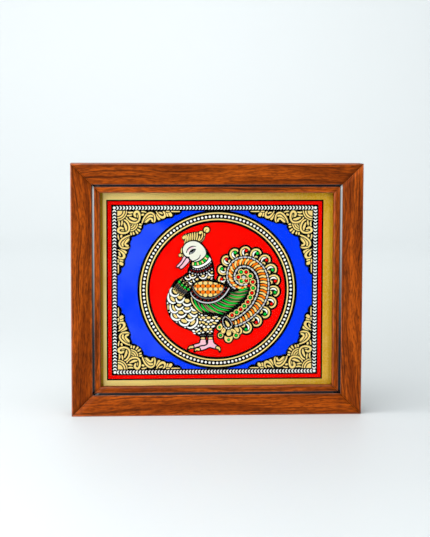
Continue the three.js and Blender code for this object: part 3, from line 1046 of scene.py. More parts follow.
def draw_feathers(p):
    """Green strokes that bow to the lower left, and one or two fine brown strokes between neighbours."""
    p.fill("black", blob([(-17.0, -2), (-16.4, -8), (-13.5, -13), (-9.5, -16.0), (-5, -17.0), (1, -17.6),
                          (7, -17.6), (13.5, -14.5), (19, -9.5), (22.3, -3), (22.6, 1.8), (17, 3.0),
                          (10, 2.6)]))
    feathers = np.array(FEATHERS)
    for i, (foot, tip) in enumerate(feathers):
        p.line("dark_green", bowed(foot, tip), (0.5, 1.1, 1.35, 1.2, 0.5))
        if i not in SHADED:
            p.line("green", bowed(foot, tip), (0.4, 0.85, 1.05, 0.85, 0.3))
    for low, high in zip(feathers[:-1], feathers[1:]):
        wide = np.linalg.norm(high[1] - low[1]) > 6
        for share in (0.36, 0.68) if wide else (0.5,):
            foot, tip = low * (1 - share) + high * share
            p.line("brown", bowed(foot, tip), (0.3, 0.6, 0.7, 0.65, 0.3))
    p.stroke("gold", [(-16.0, -4.2), (-15.1, -8.0), (-13.0, -11.4), (-10.6, -14.0), (-8.6, -15.2)],
             (0.4, 0.7, 0.7, 0.3))


# Wing


WING_RIM = [(-16.1, -1.6), (-15.8, -3.0), (-14.6, -4.7), (-12.4, -6.4), (-9.6, -7.8), (-7, -8.4),
            (-4.4, -8.6), (-1.6, -8.2), (1, -7.4), (3.6, -5.8), (6, -3.6), (7.8, -1.2), (9.1, 1.0)]
WING_HEART = [(-14.0, 2.4), (-13.0, 4.2), (-11.2, 4.9), (-9, 5.5), (-6.6, 5.8), (-4, 5.6), (-1.4, 5.0),
              (1.6, 4.3), (3.9, 3.3), (5.3, 2.2), (4.7, -0.4), (2.2, -2.5), (-1, -4.1), (-4.6, -4.7),
              (-8, -4.4), (-11, -2.6), (-13.2, 0)]
# Rows of scales: the middle one's place, the distances along and across the rows, and the radius
SCALE_MIDDLE = (-6.5, 0.5)
SCALE_PITCH = (3.35, 2.0)
SCALE_RADIUS = 1.38


def draw_wing(p):
    """A half oval: rows of scales in the middle, a grey line round them, a dark band with crimson dots and
    a silver rim."""
    rim = curve(WING_RIM, steps=4)
    heart = blob(WING_HEART, steps=4)
    p.fill("black", grown(np.concatenate([rim, curve([(8.6, 2.4), (4.2, 4.4), (-1.5, 6.2), (-6.5, 6.6),
                                                      (-11.5, 5.9), (-15.2, 3.6)])]), 0.45))
    p.line("silver", rim, (0.4, 0.75, 0.8, 0.8, 0.75, 0.6))
    p.stroke("grey", [(-14.6, 2.2), (-14.2, -0.2), (-12.4, -2.7), (-9.4, -4.8), (-6, -5.5), (-3, -5.5),
                      (0, -4.6), (2.8, -2.8), (4.8, -0.6), (5.9, 1.8)], 0.6)
    p.dots("crimson", curve([(-15.1, -1.1), (-13.6, -3.0), (-11.7, -4.9), (-9.6, -6.1), (-7.1, -6.8),
                             (-4.4, -7.0), (-1.8, -6.6), (0.6, -5.7), (2.7, -4.4), (4.7, -2.6),
                             (6.1, -0.7), (7.1, 1.3)]), radius=0.6, pitch=2.45, margin=0)
    p.keep_within(heart)
    for row in range(-2, 4):
        for column in range(-3, 4):
            place = np.add(SCALE_MIDDLE, ((column + row % 2 / 2) * SCALE_PITCH[0], row * SCALE_PITCH[1]))
            p.fill("orange" if row % 2 else "gold", disc(place, SCALE_RADIUS, flat=0.86, count=14))
    p.limit = None


# Body


BODY = [(-16.4, 19.0), (-17.4, 14.5), (-18.9, 11.0), (-22.5, 8.9), (-26.6, 6.3), (-29.2, 2.4),
        (-31.4, -2.2), (-32.5, -6.5), (-32.4, -11), (-30.9, -16), (-28.0, -20.6), (-23.6, -24.2),
        (-18.6, -26.4), (-15.8, -27.6), (-13.0, -30.0), (-10.4, -31.2), (-9.9, -33.0), (-6.3, -32.8),
        (-5.7, -31.2), (-5.1, -32.8), (-1.2, -33.0), (-0.9, -29.5), (-0.2, -26.2), (2.4, -23.5),
        (5.5, -18), (7.5, -12), (6, -6), (4, 4), (-0.4, 7.5), (-0.5, 12.5), (-0.9, 16.6), (-2.1, 20.4),
        (-3.5, 23.6), (-5.0, 26.3), (-6.8, 28.6), (-8.9, 30.5), (-11, 24)]
# White edge and gold middle of each scale of the breast, from the top row down
SCALES = (
    ([(-28.3, 1.6), (-29.4, 0.2), (-29.5, -1.6), (-28.6, -3.2), (-26.8, -4.0), (-25.2, -3.7),
      (-24.2, -2.8)], [(-27.4, -0.2), (-26.6, -1.2), (-25.6, -1.9)], 1.7),
    ([(-30.7, -2.4), (-31.0, -4.6), (-30.6, -6.6), (-29.4, -8.0), (-27.8, -8.7), (-26.4, -8.3)],
     [(-28.9, -4.9), (-28.1, -6.0), (-27.2, -7.0)], 1.9),
    ([(-25.7, -5.6), (-25.4, -7.0), (-24.4, -7.9), (-23.0, -8.2), (-21.4, -7.2), (-20.4, -5.3)],
     [(-24.2, -4.6), (-23.2, -5.0), (-22.2, -4.6)], 2.3),
    ([(-21.3, -8.5), (-20.2, -9.7), (-18.4, -10.2), (-16.8, -9.7), (-15.7, -8.6)],
     [(-19.4, -6.8), (-18.5, -7.2), (-17.6, -6.8)], 2.6),
    ([(-29.7, -9.8), (-29.6, -11.8), (-28.8, -13.8), (-27.2, -14.8), (-25.8, -14.6), (-24.6, -13.7)],
     [(-27.9, -10.3), (-27.5, -12.0), (-26.5, -13.4)], 1.3),
    ([(-26.2, -10.8), (-25.4, -12.1), (-24.0, -12.8), (-22.4, -12.3), (-21.2, -11.1)],
     [(-24.8, -9.8), (-23.8, -10.1), (-22.8, -9.8)], 1.6),
    ([(-21.2, -12.8), (-20.4, -13.9), (-18.6, -14.4), (-17.0, -13.9), (-16.0, -12.8)],
     [(-19.7, -12.1), (-18.6, -12.4), (-17.5, -12.1)], 1.5),
    ([(-15.9, -11.4), (-15.2, -12.7), (-14.0, -13.4), (-12.8, -13.6)], [(-15.0, -10.9), (-14.4, -11.6)],
     0.6),
    ([(-25.1, -16.0), (-24.2, -17.3), (-22.4, -17.9), (-20.6, -17.3), (-19.2, -15.9)],
     [(-23.6, -15.0), (-22.6, -14.9), (-21.6, -15.2)], 2.1),
    ([(-16.7, -15.6), (-15.6, -16.8), (-14.2, -17.5), (-12.9, -17.4), (-12.1, -16.5)],
     [(-15.4, -14.6), (-13.8, -15.2), (-11.9, -14.5)], 1.3),
    ([(-28.8, -15.6), (-28.8, -17.4), (-27.6, -19.0), (-25.8, -19.8), (-24.2, -19.7), (-23.1, -19.1)],
     [(-27.0, -16.4), (-26.2, -17.4), (-25.5, -18.1)], 1.7),
    ([(-19.3, -18.9), (-18.0, -20.0), (-16.2, -20.3), (-14.6, -19.6), (-13.4, -18.4)],
     [(-17.6, -16.9), (-17.0, -17.7), (-16.1, -18.3)], 1.7),
    ([(-23.8, -20.7), (-22.8, -22.3), (-21.2, -23.2), (-19.6, -23.4), (-18.2, -22.8), (-17.0, -21.5)],
     [(-21.7, -20.1), (-20.6, -20.5), (-19.4, -21.0)], 2.4),
    ([(-18.4, -24.6), (-16.4, -25.2), (-14.2, -24.3), (-12.6, -22.8), (-11.8, -21.0), (-11.9, -19.0)],
     [(-15.8, -22.6), (-14.8, -21.8), (-13.8, -20.7)], 1.9),
    ([(-14.9, -27.0), (-13.6, -27.6)], [(-12.6, -27.7), (-11.8, -27.6)], 1.3))
# Lozenges of the thigh: middle, half of the length and height, and lean
WHITE_LOZENGES = ((-10.3, -15.6, 0.5, 0.5, 0), (-8.9, -16.7, 0.7, 0.55, 0), (-6.0, -16.8, 1.15, 0.55, 0),
                  (0.6, -17.7, 1.15, 0.55, 0), (-9.5, -19.5, 0.85, 0.55, -25),
                  (-6.5, -19.9, 1.2, 0.65, 15), (-2.3, -20.3, 1.3, 0.7, 0), (1.1, -20.5, 1.2, 0.6, 0),
                  (-4.5, -21.1, 1.0, 0.7, 0), (-9.2, -23.5, 0.9, 0.65, 20), (-11.1, -23.9, 0.55, 0.7, 0),
                  (-7.4, -24.5, 0.85, 0.75, 15), (-4.5, -24.5, 1.1, 0.8, 0), (-1.4, -24.3, 1.3, 0.65, 20),
                  (-4.8, -27.7, 0.85, 0.5, 10), (-2.4, -27.6, 0.7, 0.5, 0), (-8.0, -28.2, 0.8, 0.55, 10),
                  (-12.6, -25.4, 1.1, 0.5, 10), (-10.9, -26.5, 1.4, 0.5, 28),
                  (-13.6, -28.8, 0.9, 0.4, -10), (-10.6, -28.7, 1.0, 0.5, 5),
                  (-25.4, -21.3, 0.5, 0.4, -40), (-19.8, -24.8, 0.6, 0.35, -20),
                  (-31.4, -8.6, 0.45, 0.6, 0), (-30.2, -14.5, 0.4, 0.5, 20))
GOLD_LOZENGES = ((-10.5, -18.0, 0.65, 0.65, 0), (-7.9, -18.4, 1.35, 0.85, 0), (-4.4, -18.5, 1.35, 0.85, 0),
                 (-0.9, -18.6, 1.25, 0.65, -28), (2.4, -18.9, 1.25, 0.65, 0), (-10.1, -21.6, 0.6, 1.0, 0),
                 (-7.9, -21.5, 1.25, 0.7, -20), (-5.8, -22.7, 1.0, 0.7, 0), (-3.0, -22.8, 1.1, 0.7, 0),
                 (-0.4, -22.0, 1.5, 0.65, -12), (-6.4, -26.3, 1.3, 1.0, 0), (-3.2, -26.2, 1.15, 0.75, 15),
                 (-9.4, -27.2, 0.6, 0.5, 30), (-3.4, -28.7, 0.7, 0.4, 0), (-31.1, -11.4, 0.38, 1.9, 0))


def draw_body(p):
    """Breast and thigh: scales with a white edge and a gold middle, and lozenges."""
    p.fill("black", blob(BODY))
    for edge, middle, width in SCALES:
        p.stroke("white", edge, (0.7, 1.25, 1.4, 1.25, 0.7), ink=0.25, steps=4)
        p.stroke("gold", middle, (0.7 * width, width, 0.7 * width), steps=3)
    for paint, lozenges in (("white", WHITE_LOZENGES), ("gold", GOLD_LOZENGES)):
        for x, z, half_length, half_height, lean in lozenges:
            p.fill(paint, disc((x, z), half_length, flat=half_height / half_length, lean=lean, count=10))


SHOULDER_ACROSS = np.array([0.64, 0.77])
SHOULDER_DOTS = [(-23.7, 5.3), (-21.9, 3.2), (-20.0, 1.6), (-17.8, 0.4)]
# Distance of each row from the green dots, its paint, and the radius and distance of its dots
SHOULDER_ROWS = ((2.9, "brown", 0.36, 1.6), (1.7, "gold", 0.45, 2.4), (-1.3, "brown", 0.36, 1.3),
                 (-2.3, "grey", 0.3, 1.3), (-3.3, "grey", 0.3, 1.5), (-4.4, "brown", 0.33, 1.4),
                 (-5.4, "gold", 0.36, 1.5))


def draw_shoulder(p):
    """A dark band across the shoulder with rows of fine dots beside four green ones."""
    p.fill("black", blob([(-25.6, 7.2), (-20, 7.2), (-15.0, 2.8), (-14.8, -1.5), (-16.6, -5.6),
                          (-20.5, -5.0), (-24.9, -2.0), (-28.6, 2.4)]))
    row = curve(SHOULDER_DOTS)
    for distance, paint, radius, pitch in SHOULDER_ROWS:
        p.dots(paint, row + SHOULDER_ACROSS * distance, radius=radius, pitch=pitch, margin=0)
    for place in SHOULDER_DOTS:
        p.fill("green", disc(place, 0.8, count=10))


# Scallops of the neck: middle, radius, first and last angle
SCALLOPS = ((-14.8, 10.1, 2.2, 175, 330), (-17.8, 9.0, 2.1, 195, 320), (-8.2, 10.2, 2.7, 215, 360),
            (-4.4, 8.3, 2.2, 215, 360), (-2.4, 11.8, 2.3, 195, 290), (-15.3, 6.0, 2.2, 205, 310),
            (-12.5, 7.0, 2.1, 190, 290))
# Gold spots of the neck: middle and radius
NECK_GOLDS = ((-18.2, 9.0, 0.6), (-15.0, 9.5, 0.7), (-8.1, 9.2, 1.0), (-12.0, 7.0, 0.95), (-4.2, 8.3, 1.0),
              (-2.3, 11.5, 0.8), (-15.8, 5.6, 0.55), (-18.5, 5.8, 0.4))


def draw_neck(p):
    """White scallops with gold in them between the collar and the wing."""
    p.fill("black", blob([(-18.9, 11.4), (-12, 11.2), (-6, 12.0), (-0.9, 13.6), (-0.6, 8), (-3.0, 5.6),
                          (-9, 6.0), (-13, 3.6), (-14.9, 2.6), (-18.4, 4.8), (-21.6, 8.2)]))
    for x, z, radius, first, last in SCALLOPS:
        p.line("white", arc((x, z), radius, first, last, 12), (0.5, 0.85, 0.9, 0.85, 0.5))
    for x, z, radius in NECK_GOLDS:
        p.fill("gold", disc((x, z), radius, flat=0.7, lean=20))


# Line, paint, radius and distance of each row of dots
COLLAR_ROWS = (
    ([(-14.8, 14.3), (-12, 13.5), (-8.6, 14.0), (-5.2, 15.8), (-2.8, 18.2)], "silver", 0.36, 1.5),
    ([(-16.0, 12.9), (-12, 12.0), (-8.2, 12.6), (-5.2, 13.7), (-2.6, 16.0)], "crimson", 0.58, 1.9),
    ([(-17.0, 12.0), (-15, 10.9), (-12.4, 10.2), (-8.8, 10.5), (-5.4, 11.8), (-2.0, 13.8)],
     "silver", 0.46, 1.9))


def draw_collar(p):
    """A dark collar with rows of silver and crimson dots."""
    p.fill("black", blob([(-17.0, 15.6), (-12, 14.2), (-7, 15.4), (-2.2, 20.0), (-0.8, 14.5), (-1.6, 12.8),
                          (-8, 10.9), (-13, 10.2), (-18.2, 11.4)]))
    for path, paint, radius, pitch in COLLAR_ROWS:
        p.dots(paint, curve(path), radius=radius, pitch=pitch, margin=0.3)


# Head


# The two halves of the beak
BEAK = ([(-20.7, 22.1), (-19.4, 21.1), (-19.4, 20.1), (-21.4, 17.8), (-24.2, 15.4), (-25.3, 15.5),
         (-23.6, 17.4), (-22.0, 19.4)],
        [(-18.9, 20.7), (-17.7, 20.4), (-17.4, 19.0), (-18.8, 17.2), (-21.4, 14.7), (-22.9, 14.2),
         (-23.2, 15.1), (-21.6, 16.8), (-20.3, 18.7)])


def draw_head(p):
    """Pale head with its eye, brow, cheek line, beak, jewelled ring and the white crescent under it."""
    p.inked("cream", blob([(-21.3, 26.0), (-20.9, 28.4), (-19.4, 30.4), (-17.0, 31.7), (-14.2, 32.1),
                           (-11.6, 31.4), (-9.4, 29.9), (-7.6, 27.9), (-6.4, 25.6), (-6.4, 23.4),
                           (-7.8, 21.5), (-10.0, 19.8), (-12.2, 18.9), (-13.8, 18.8), (-15.4, 19.6),
                           (-16.7, 20.7), (-17.0, 21.9), (-18.6, 22.1), (-20.2, 23.2)]), ink=0.8)
    p.stroke("black", [(-15.2, 18.9), (-12.9, 19.6), (-11.2, 20.6), (-10.2, 22.0), (-9.9, 23.0)],
             (0.5, 0.6, 0.65, 0.6, 0.4))
    # Crescent
    p.inked("white", blob([(-15.0, 15.9), (-13.6, 14.8), (-11.6, 14.5), (-9, 15.2), (-6.2, 16.6),
                           (-4, 18.2), (-2.9, 19.6), (-3.2, 20.6), (-4, 21.5), (-4.6, 20.2), (-5.9, 18.5),
                           (-8, 17.0), (-10.4, 16.1), (-12.6, 15.8)], steps=4), ink=0.35)
    # Jewelled ring
    ring = curve([(-14.7, 17.2), (-13.2, 17.1), (-11.8, 17.2), (-10.4, 17.6), (-8.9, 18.2), (-7.6, 19.2),
                  (-6.4, 20.5), (-5.4, 22.1)])
    p.line("black", ring, 2.7)
    for i, share in enumerate(np.linspace(0, 1, 8)):
        before, after = at(ring, np.clip([share - 0.02, share + 0.02], 0, 1))
        lean = np.degrees(np.arctan2(*(after - before)[::-1]))
        p.fill("green" if i % 2 else "gold", at(ring, share) + turned(rectangle((0.55, 0.95)), lean))
    # Brow and eye
    p.stroke("grey", [(-19.1, 24.5), (-18.4, 26.4), (-17.0, 27.9), (-15.0, 28.7), (-12.8, 28.7)],
             (0.5, 0.75, 0.75, 0.4))
    p.stroke("black", [(-19.0, 24.7), (-18.4, 26.4), (-17.0, 27.9), (-15.0, 28.7), (-13.2, 28.7)],
             (0.4, 0.7, 0.7, 0.3))
    p.stroke("pink", [(-18.0, 24.9), (-17.4, 26.5), (-16.1, 27.6), (-14.2, 28.0)], (0.5, 0.75, 0.7, 0.3))
    lid = curve([(-17.4, 23.2), (-17.1, 25.1), (-15.8, 26.6), (-14.0, 27.2), (-12.6, 27.0)], steps=4)
    under = curve([(-12.6, 27.0), (-13.5, 25.3), (-15.2, 23.9), (-17.4, 23.2)], steps=4)
    p.fill("black", np.concatenate([lid, under[1:-1]]))
    p.stroke("grey", [(-16.5, 24.1), (-15.2, 24.7), (-14.2, 25.5), (-13.6, 26.3)], (0.4, 0.8, 0.7, 0.3),
             steps=4)
    p.fill("white", disc((-16.1, 24.3), 0.35, count=8))
    # Beak
    for beak in BEAK:
        p.inked("pink", blob(beak, steps=4), ink=0.8)
    for tip in ((-25.5, 14.9), (-22.6, 13.6)):
        p.fill("black", disc(tip, 0.6, count=8))
    # Curl before the brow
    p.stroke("gold", [(-22.1, 27.6), (-22.4, 26.0), (-22.2, 24.4)], (0.4, 0.7, 0.5), ink=0.5)
    p.stroke("gold", [(-21.4, 22.2), (-21.8, 23.3), (-22.8, 23.5)], (0.6, 0.8, 0.8), ink=0.5, steps=4)
    p.inked("gold", disc((-23.1, 22.9), 0.95), ink=0.6)


# Crest: points of each rib from its foot to its tip
CREST_RIBS = ([(-18.7, 32.0), (-18.3, 33.6), (-18.6, 35.2), (-19.4, 36.2)],
              [(-17.4, 32.7), (-17.3, 34.4), (-17.8, 36.6)], [(-16.2, 33.0), (-16.1, 35.0), (-16.5, 37.0)],
              [(-15.0, 33.1), (-14.9, 35.2), (-15.1, 37.3)], [(-13.7, 33.1), (-13.5, 35.4), (-13.6, 37.6)],
              [(-12.5, 33.1), (-12.0, 35.2), (-12.0, 37.5)], [(-11.4, 32.8), (-10.6, 34.0), (-10.4, 35.4)])


def draw_crest(p):
    """Gold ribs in a fan between two curls and a knob on a stem."""
    top = lobed([(-22.0, 33.4), (-21.7, 35.6), (-19.4, 37.1), (-17.2, 37.7), (-15.3, 38.0), (-13.4, 38.4),
                 (-11.7, 38.3), (-10.7, 39.0), (-8.4, 39.2)], bulge=-0.12, steps=4)
    p.fill("black", np.concatenate([top, [(-8.2, 38), (-6.6, 35.6), (-6.8, 33.6), (-8.2, 31.6), (-9, 30.4),
                                          (-14, 31.6), (-20.9, 30.2), (-20.6, 32)]]))
    p.stroke("gold", [(-20.3, 31.0), (-19.7, 32.4), (-19.3, 33.9), (-19.7, 35.2), (-20.7, 35.5)],
             (0.5, 0.7, 0.8, 0.7), steps=4)
    p.fill("gold", disc((-20.8, 34.4), 0.95))
    for rib in CREST_RIBS:
        p.stroke("gold", rib, (0.55, 0.75, 0.8, 0.7), steps=4)
    p.stroke("gold", [(-10.9, 32.3), (-9.4, 33.6), (-8.6, 35.4), (-8.3, 37.0), (-8.9, 38.1),
                      (-10.0, 38.2)], (0.4, 0.7, 0.8, 0.9, 0.8), steps=4)
    p.fill("gold", disc((-10.1, 37.5), 0.85))
    p.stroke("brown", [(-9.8, 31.6), (-8.4, 32.7), (-7.4, 34.4), (-6.9, 36.2)], (0.4, 0.7, 0.7), steps=4)
    p.stroke("gold", [(-7.2, 35.8), (-7.1, 38.0), (-6.9, 39.4)], (0.6, 1.0, 1.2), ink=0.7, steps=4)
    p.inked("gold", disc((-5.8, 39.6), 1.8, count=18), ink=0.95)
    p.stroke("black", [(-6.4, 37.6), (-6.5, 38.8), (-6.2, 39.6), (-5.4, 39.9)], (0.5, 0.45, 0.25), steps=4)


# Fan below the end of the tail


# Round petals: middle, and radii of the gold, black and green discs
PETALS = ((3.6, -30.2, 1.8, 1.2, 0.66), (13.9, -30.4, 2.0, 1.25, 0.8))
# Line and widths of each plain petal
PLAIN_PETALS = (([(16.3, -25.1), (17.3, -26.7), (17.1, -28.4), (16.1, -29.5)], (0.9, 1.1, 1.0, 0.7)),
                ([(13.2, -25.6), (14.4, -26.2), (14.9, -27.2)], (1.0, 2.2, 1.9)),
                ([(11.0, -26.7), (12.2, -27.4), (13.0, -28.3)], (1.6, 2.0, 1.9)),
                ([(9.1, -27.6), (9.0, -29.1)], (2.7, 3.1)),
                ([(5.9, -26.2), (5.3, -27.6)], (2.2, 2.8)))
NEAR_PETAL = [(3.7, -22.4), (4.7, -24.0), (4.7, -25.4), (3.8, -26.5), (2.7, -26.8), (1.5, -26.1),
              (1.1, -24.8), (1.8, -23.6), (2.9, -22.9)]
TIP_PETAL = [(6.5, -30.6), (7.5, -31.2), (9.0, -31.6), (10.5, -31.2), (11.4, -30.7), (11.5, -32.3),
             (10.8, -34.0), (9.6, -34.9), (8.2, -34.9), (6.8, -34.0), (6.1, -32.2)]


def draw_fan(p):
    """Petals with green dots round plain ones, and a dark drop with a gold kernel over them."""
    near, tip = blob(NEAR_PETAL, steps=4), blob(TIP_PETAL, steps=4)
    for outline in (near, tip):
        p.fill("black", grown(outline, 1.0))
    for x, z, radius, _, _ in PETALS:
        p.fill("black", disc((x, z), radius + 1.0, count=18))
    for path, widths in PLAIN_PETALS:
        p.fill("black", ribbon(path, np.array(widths) + 1.7))
    p.fill("black", disc((9, -26), 4.6, count=20))
    for outline, spot in ((near, (2.9, -24.8)), (tip, (8.9, -33.2))):
        p.fill("gold", outline)
        p.fill("black", disc(spot, 1.05, count=12))
        p.fill("green", disc(spot, 0.68, count=12))
    for x, z, radius, hollow, spot in PETALS:
        for paint, size in (("gold", radius), ("black", hollow), ("green", spot)):
            p.fill(paint, disc((x, z), size, count=16))
    for path, widths in PLAIN_PETALS:
        p.stroke("gold", path, widths, ink=0.3, steps=3)
    for x in (8.5, 9.7):
        p.line("black", [(x, -27.0), (x, -28.6)], (0.35, 0.2))
    p.line("black", [(11.3, -27.2), (12.5, -28.3)], (0.4, 0.2))
    p.fill("black", disc((5.5, -26.7), 0.4, count=8))
    p.stroke("gold", [(8.2, -16.8), (9.0, -17.8), (9.6, -19.0)], (0.5, 0.8, 0.5), steps=3)
    drop = blob([(5.6, -18.6), (4.9, -20.6), (5.8, -23.7), (7.3, -25.4), (9.0, -25.8), (10.5, -24.8),
                 (11.1, -23.0), (10.2, -21.0), (8.6, -19.0), (7.0, -17.9)])
    p.fill("black", grown(drop, 0.9))
    draw_dashes(p, np.concatenate([drop, drop[:1]]), dash=0.5, gap=0.8, width=0.45)
    for place in ((7.4, -25.4), (8.9, -25.7), (10.5, -24.6)):
        p.fill("white", disc(place, 0.45, count=8))
    p.fill("gold", blob([(6.6, -20.6), (8.0, -21.2), (9.3, -22.9), (9.3, -24.1), (8.3, -24.4),
                         (7.3, -23.0)], steps=4))


# Legs


# Places of the two legs along X
LEGS = (-8.1, -3.1)
TOES = ([(-9.2, -33), (-6.7, -33), (-6.2, -35.2), (-5.8, -36.4), (-9.4, -36.9), (-12.4, -37.7),
         (-14.6, -38.4), (-15.4, -37.2), (-12.8, -36.2), (-10.2, -35.4)],
        [(-4.3, -33), (-1.8, -33), (-1.3, -35), (0.2, -36.4), (1.9, -37.6), (0.6, -38.9), (-1.6, -38.4),
         (-3.6, -37.9), (-6.4, -39.0), (-9.6, -39.9), (-11.4, -38.9), (-9.6, -37.7), (-6.6, -37.2),
         (-4.7, -35.8)])
CLAWS = ([(-15.0, -37.8), (-16.6, -38.0), (-17.8, -39.4)],
         [(-10.8, -39.5), (-12.4, -39.4), (-13.5, -40.7)],
         [(1.4, -38.4), (2.7, -38.9), (3.1, -41.0)])


def draw_legs(p):
    """Pink legs and toes with gold claws, and dark and gold rings above them."""
    for x in LEGS:
        p.inked("pink", blob([(x - 1.3, -31.6), (x + 1.3, -31.6), (x + 1.2, -35), (x - 1.2, -35)], steps=3))
    for toes in TOES:
        p.inked("pink", blob(toes, steps=4), ink=0.95)
    for claw in CLAWS:
        p.stroke("gold", claw, (1.5, 1.0, 0.35), ink=0.85, steps=4)
        p.fill("black", disc(claw[-1], 0.65, count=8))
    for x in LEGS:
        p.inked("black", rectangle((1.9, 1.0)) + (x, -30.2), ink=0.2)
        for step in np.linspace(-1.4, 1.4, 4):
            p.fill("grey", disc((x + step, -30.2), 0.3, count=8))
        p.inked("gold", disc((x, -32.1), 1.35, flat=0.5), ink=0.35)


# The roundel and the bird are moved by this much as one
BIRD_SHIFT = (0.09, 0.19)


def draw_picture(shift):
    """The whole picture: border, corners, roundel, bird and chevrons."""
    p = Painting(shift)
    draw_border(p)
    draw_corners(p)
    p.moves = [lambda points: points + BIRD_SHIFT]
    for draw in (draw_roundel, draw_body, draw_feathers, draw_tail, draw_fan, draw_legs, draw_shoulder,
                 draw_neck, draw_wing, draw_collar, draw_crest, draw_head):
        draw(p)
    p.moves = [lambda points: points]
    draw_chevrons(p)
    return p


# The sheet's material slots in order: every paint but the painted shade and lip shadow golds of the ground
PAINT_NAMES = [name for name in PaintColours.__annotations__ if name not in ("deep_ground", "lip_ground")]
# Middle of the border, measured from the middle of the frame's underside
PICTURE_MIDDLE = np.array([-0.99, 81.83])
# Colour and share of the painted reflection on the two broad areas
PAINTED_REFLECTIONS = {"blue": (colour(84, 118, 255), 0.34), "red": (colour(255, 60, 10), 0.06)}


def partition(painting, half):
    """Cuts the sheet's face into triangles along every outline. Each triangle shows the last paint that
    covers its middle."""
    outlines = [rectangle(half), *(outline for _, outline, _ in painting.coats), *painting.limits]
    points = np.concatenate(outlines)
    sizes = np.array([len(outline) for outline in outlines])
    starts = np.concatenate([[0], np.cumsum(sizes)[:-1]])
    index = np.arange(len(points))
    after = index + 1
    after[starts + sizes - 1] = starts
    edges = np.stack([index, after], -1).tolist()
    verts, _, faces, *_ = delaunay_2d_cdt(points.tolist(), edges, [], 0, MERGE_DISTANCE)
    verts, faces = np.array(verts), np.array(faces)
    middle = verts[faces].mean(1)
    order = np.argsort(middle[:, 0], kind="stable")
    middle, faces = middle[order], faces[order]
    paint = np.zeros(len(faces), np.int32)
    for name, outline, limit in painting.coats:
        low, high = outline.min(0), outline.max(0)
        first, last = np.searchsorted(middle[:, 0], (low[0], high[0]))
        near = np.arange(first, last)[(middle[first:last, 1] > low[1]) & (middle[first:last, 1] < high[1])]
        covered = near[inside(middle[near], outline)]
        if limit is not None:
            covered = covered[inside(middle[covered], limit)]
        paint[covered] = PAINT_NAMES.index(name)
    return verts, faces, paint


def picture_mesh(name, colours):
    """The sheet of paint: the painted face against the glass, four sides and a plain back."""
    half = (PAINT_HIGH - PAINT_LOW)[[0, 2]] / 2
    centre = (PAINT_HIGH + PAINT_LOW)[[0, 2]] / 2
    verts, faces, paint = partition(draw_picture(PICTURE_MIDDLE - centre), half)
    first, second = verts[faces[:, 1]] - verts[faces[:, 0]], verts[faces[:, 2]] - verts[faces[:, 0]]
    area = first[:, 0] * second[:, 1] - first[:, 1] * second[:, 0]
    faces = np.where((area > 0)[:, None], faces, faces[:, ::-1])
    corner = rectangle(half)
    front = np.insert(verts + centre, 1, PAINT_LOW[1], axis=1)
    back = np.insert(corner + centre, 1, PAINT_HIGH[1], axis=1)
    at_corner = np.linalg.norm(verts[:, None] - corner, axis=-1).argmin(0)
    behind = len(front) + np.arange(4)
    sides = np.stack([at_corner, behind, np.roll(behind, -1), np.roll(at_corner, -1)], -1)
    all_faces = [*faces.tolist(), *sides.tolist(), behind[::-1].tolist()]
    slots = np.concatenate([paint, np.zeros(5, np.int32)])
    look = [gold_ground(colours)]
    for paint_name in PAINT_NAMES[1:]:
        painted_reflection, share = PAINTED_REFLECTIONS.get(paint_name, (None, 0.0))
        look.append(flat_paint(paint_name + "_paint", tuple(getattr(colours, paint_name)), painted_reflection, share))
    return new_piece(name, np.concatenate([front, back]), all_faces, look, slots, smooth=False)


# Operators


def settings():
    """The add-on's settings in the open scene."""
    return bpy.context.scene.glass_painting


class DressRails(bpy.types.Operator):
    """Makes the four mitred rails with their lacquer, groove and bare backs"""
    bl_idname = "glass_painting.rails"
    bl_label = "Rails"

    def execute(self, context):
        look = settings().frame_finish
        materials = [lacquered_wood(look), groove_lacquer(look), bare_wood(look)]
        for side, node in enumerate(("bottom_rail", "right_stile", "top_rail", "left_stile")):
            piece = rail_mesh(node + "_wood", side, look, materials)
            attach(piece, "root")
            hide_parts(node)
        return {"FINISHED"}


class DressPicture(bpy.types.Operator):
    """Makes the coats of paint on the back of the glass"""
    bl_idname = "glass_painting.picture"
    bl_label = "Picture"

    def execute(self, context):
        piece = picture_mesh("painted_picture", settings().paints)
        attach(piece, "root")
        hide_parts("paint_layer")
        return {"FINISHED"}


class DressGlass(bpy.types.Operator):
    """Makes the clear pane with its chamfered edges"""
    bl_idname = "glass_painting.glass"
    bl_label = "Glass"

    def execute(self, context):
        low, high = node_box("glass_pane")
        high[1] -= GAP_TO_PAINT
        piece = pane_mesh("clear_pane", low, high, GLASS_CHAMFER, [clear_glass(settings().sheets)])
        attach(piece, "root")
        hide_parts("glass_pane")
        return {"FINISHED"}


def give_material(node, material):
    """Puts the material on a CAD node's mesh in place of its own."""
    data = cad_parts[node].data
    data.materials.clear()
    data.materials.append(material)


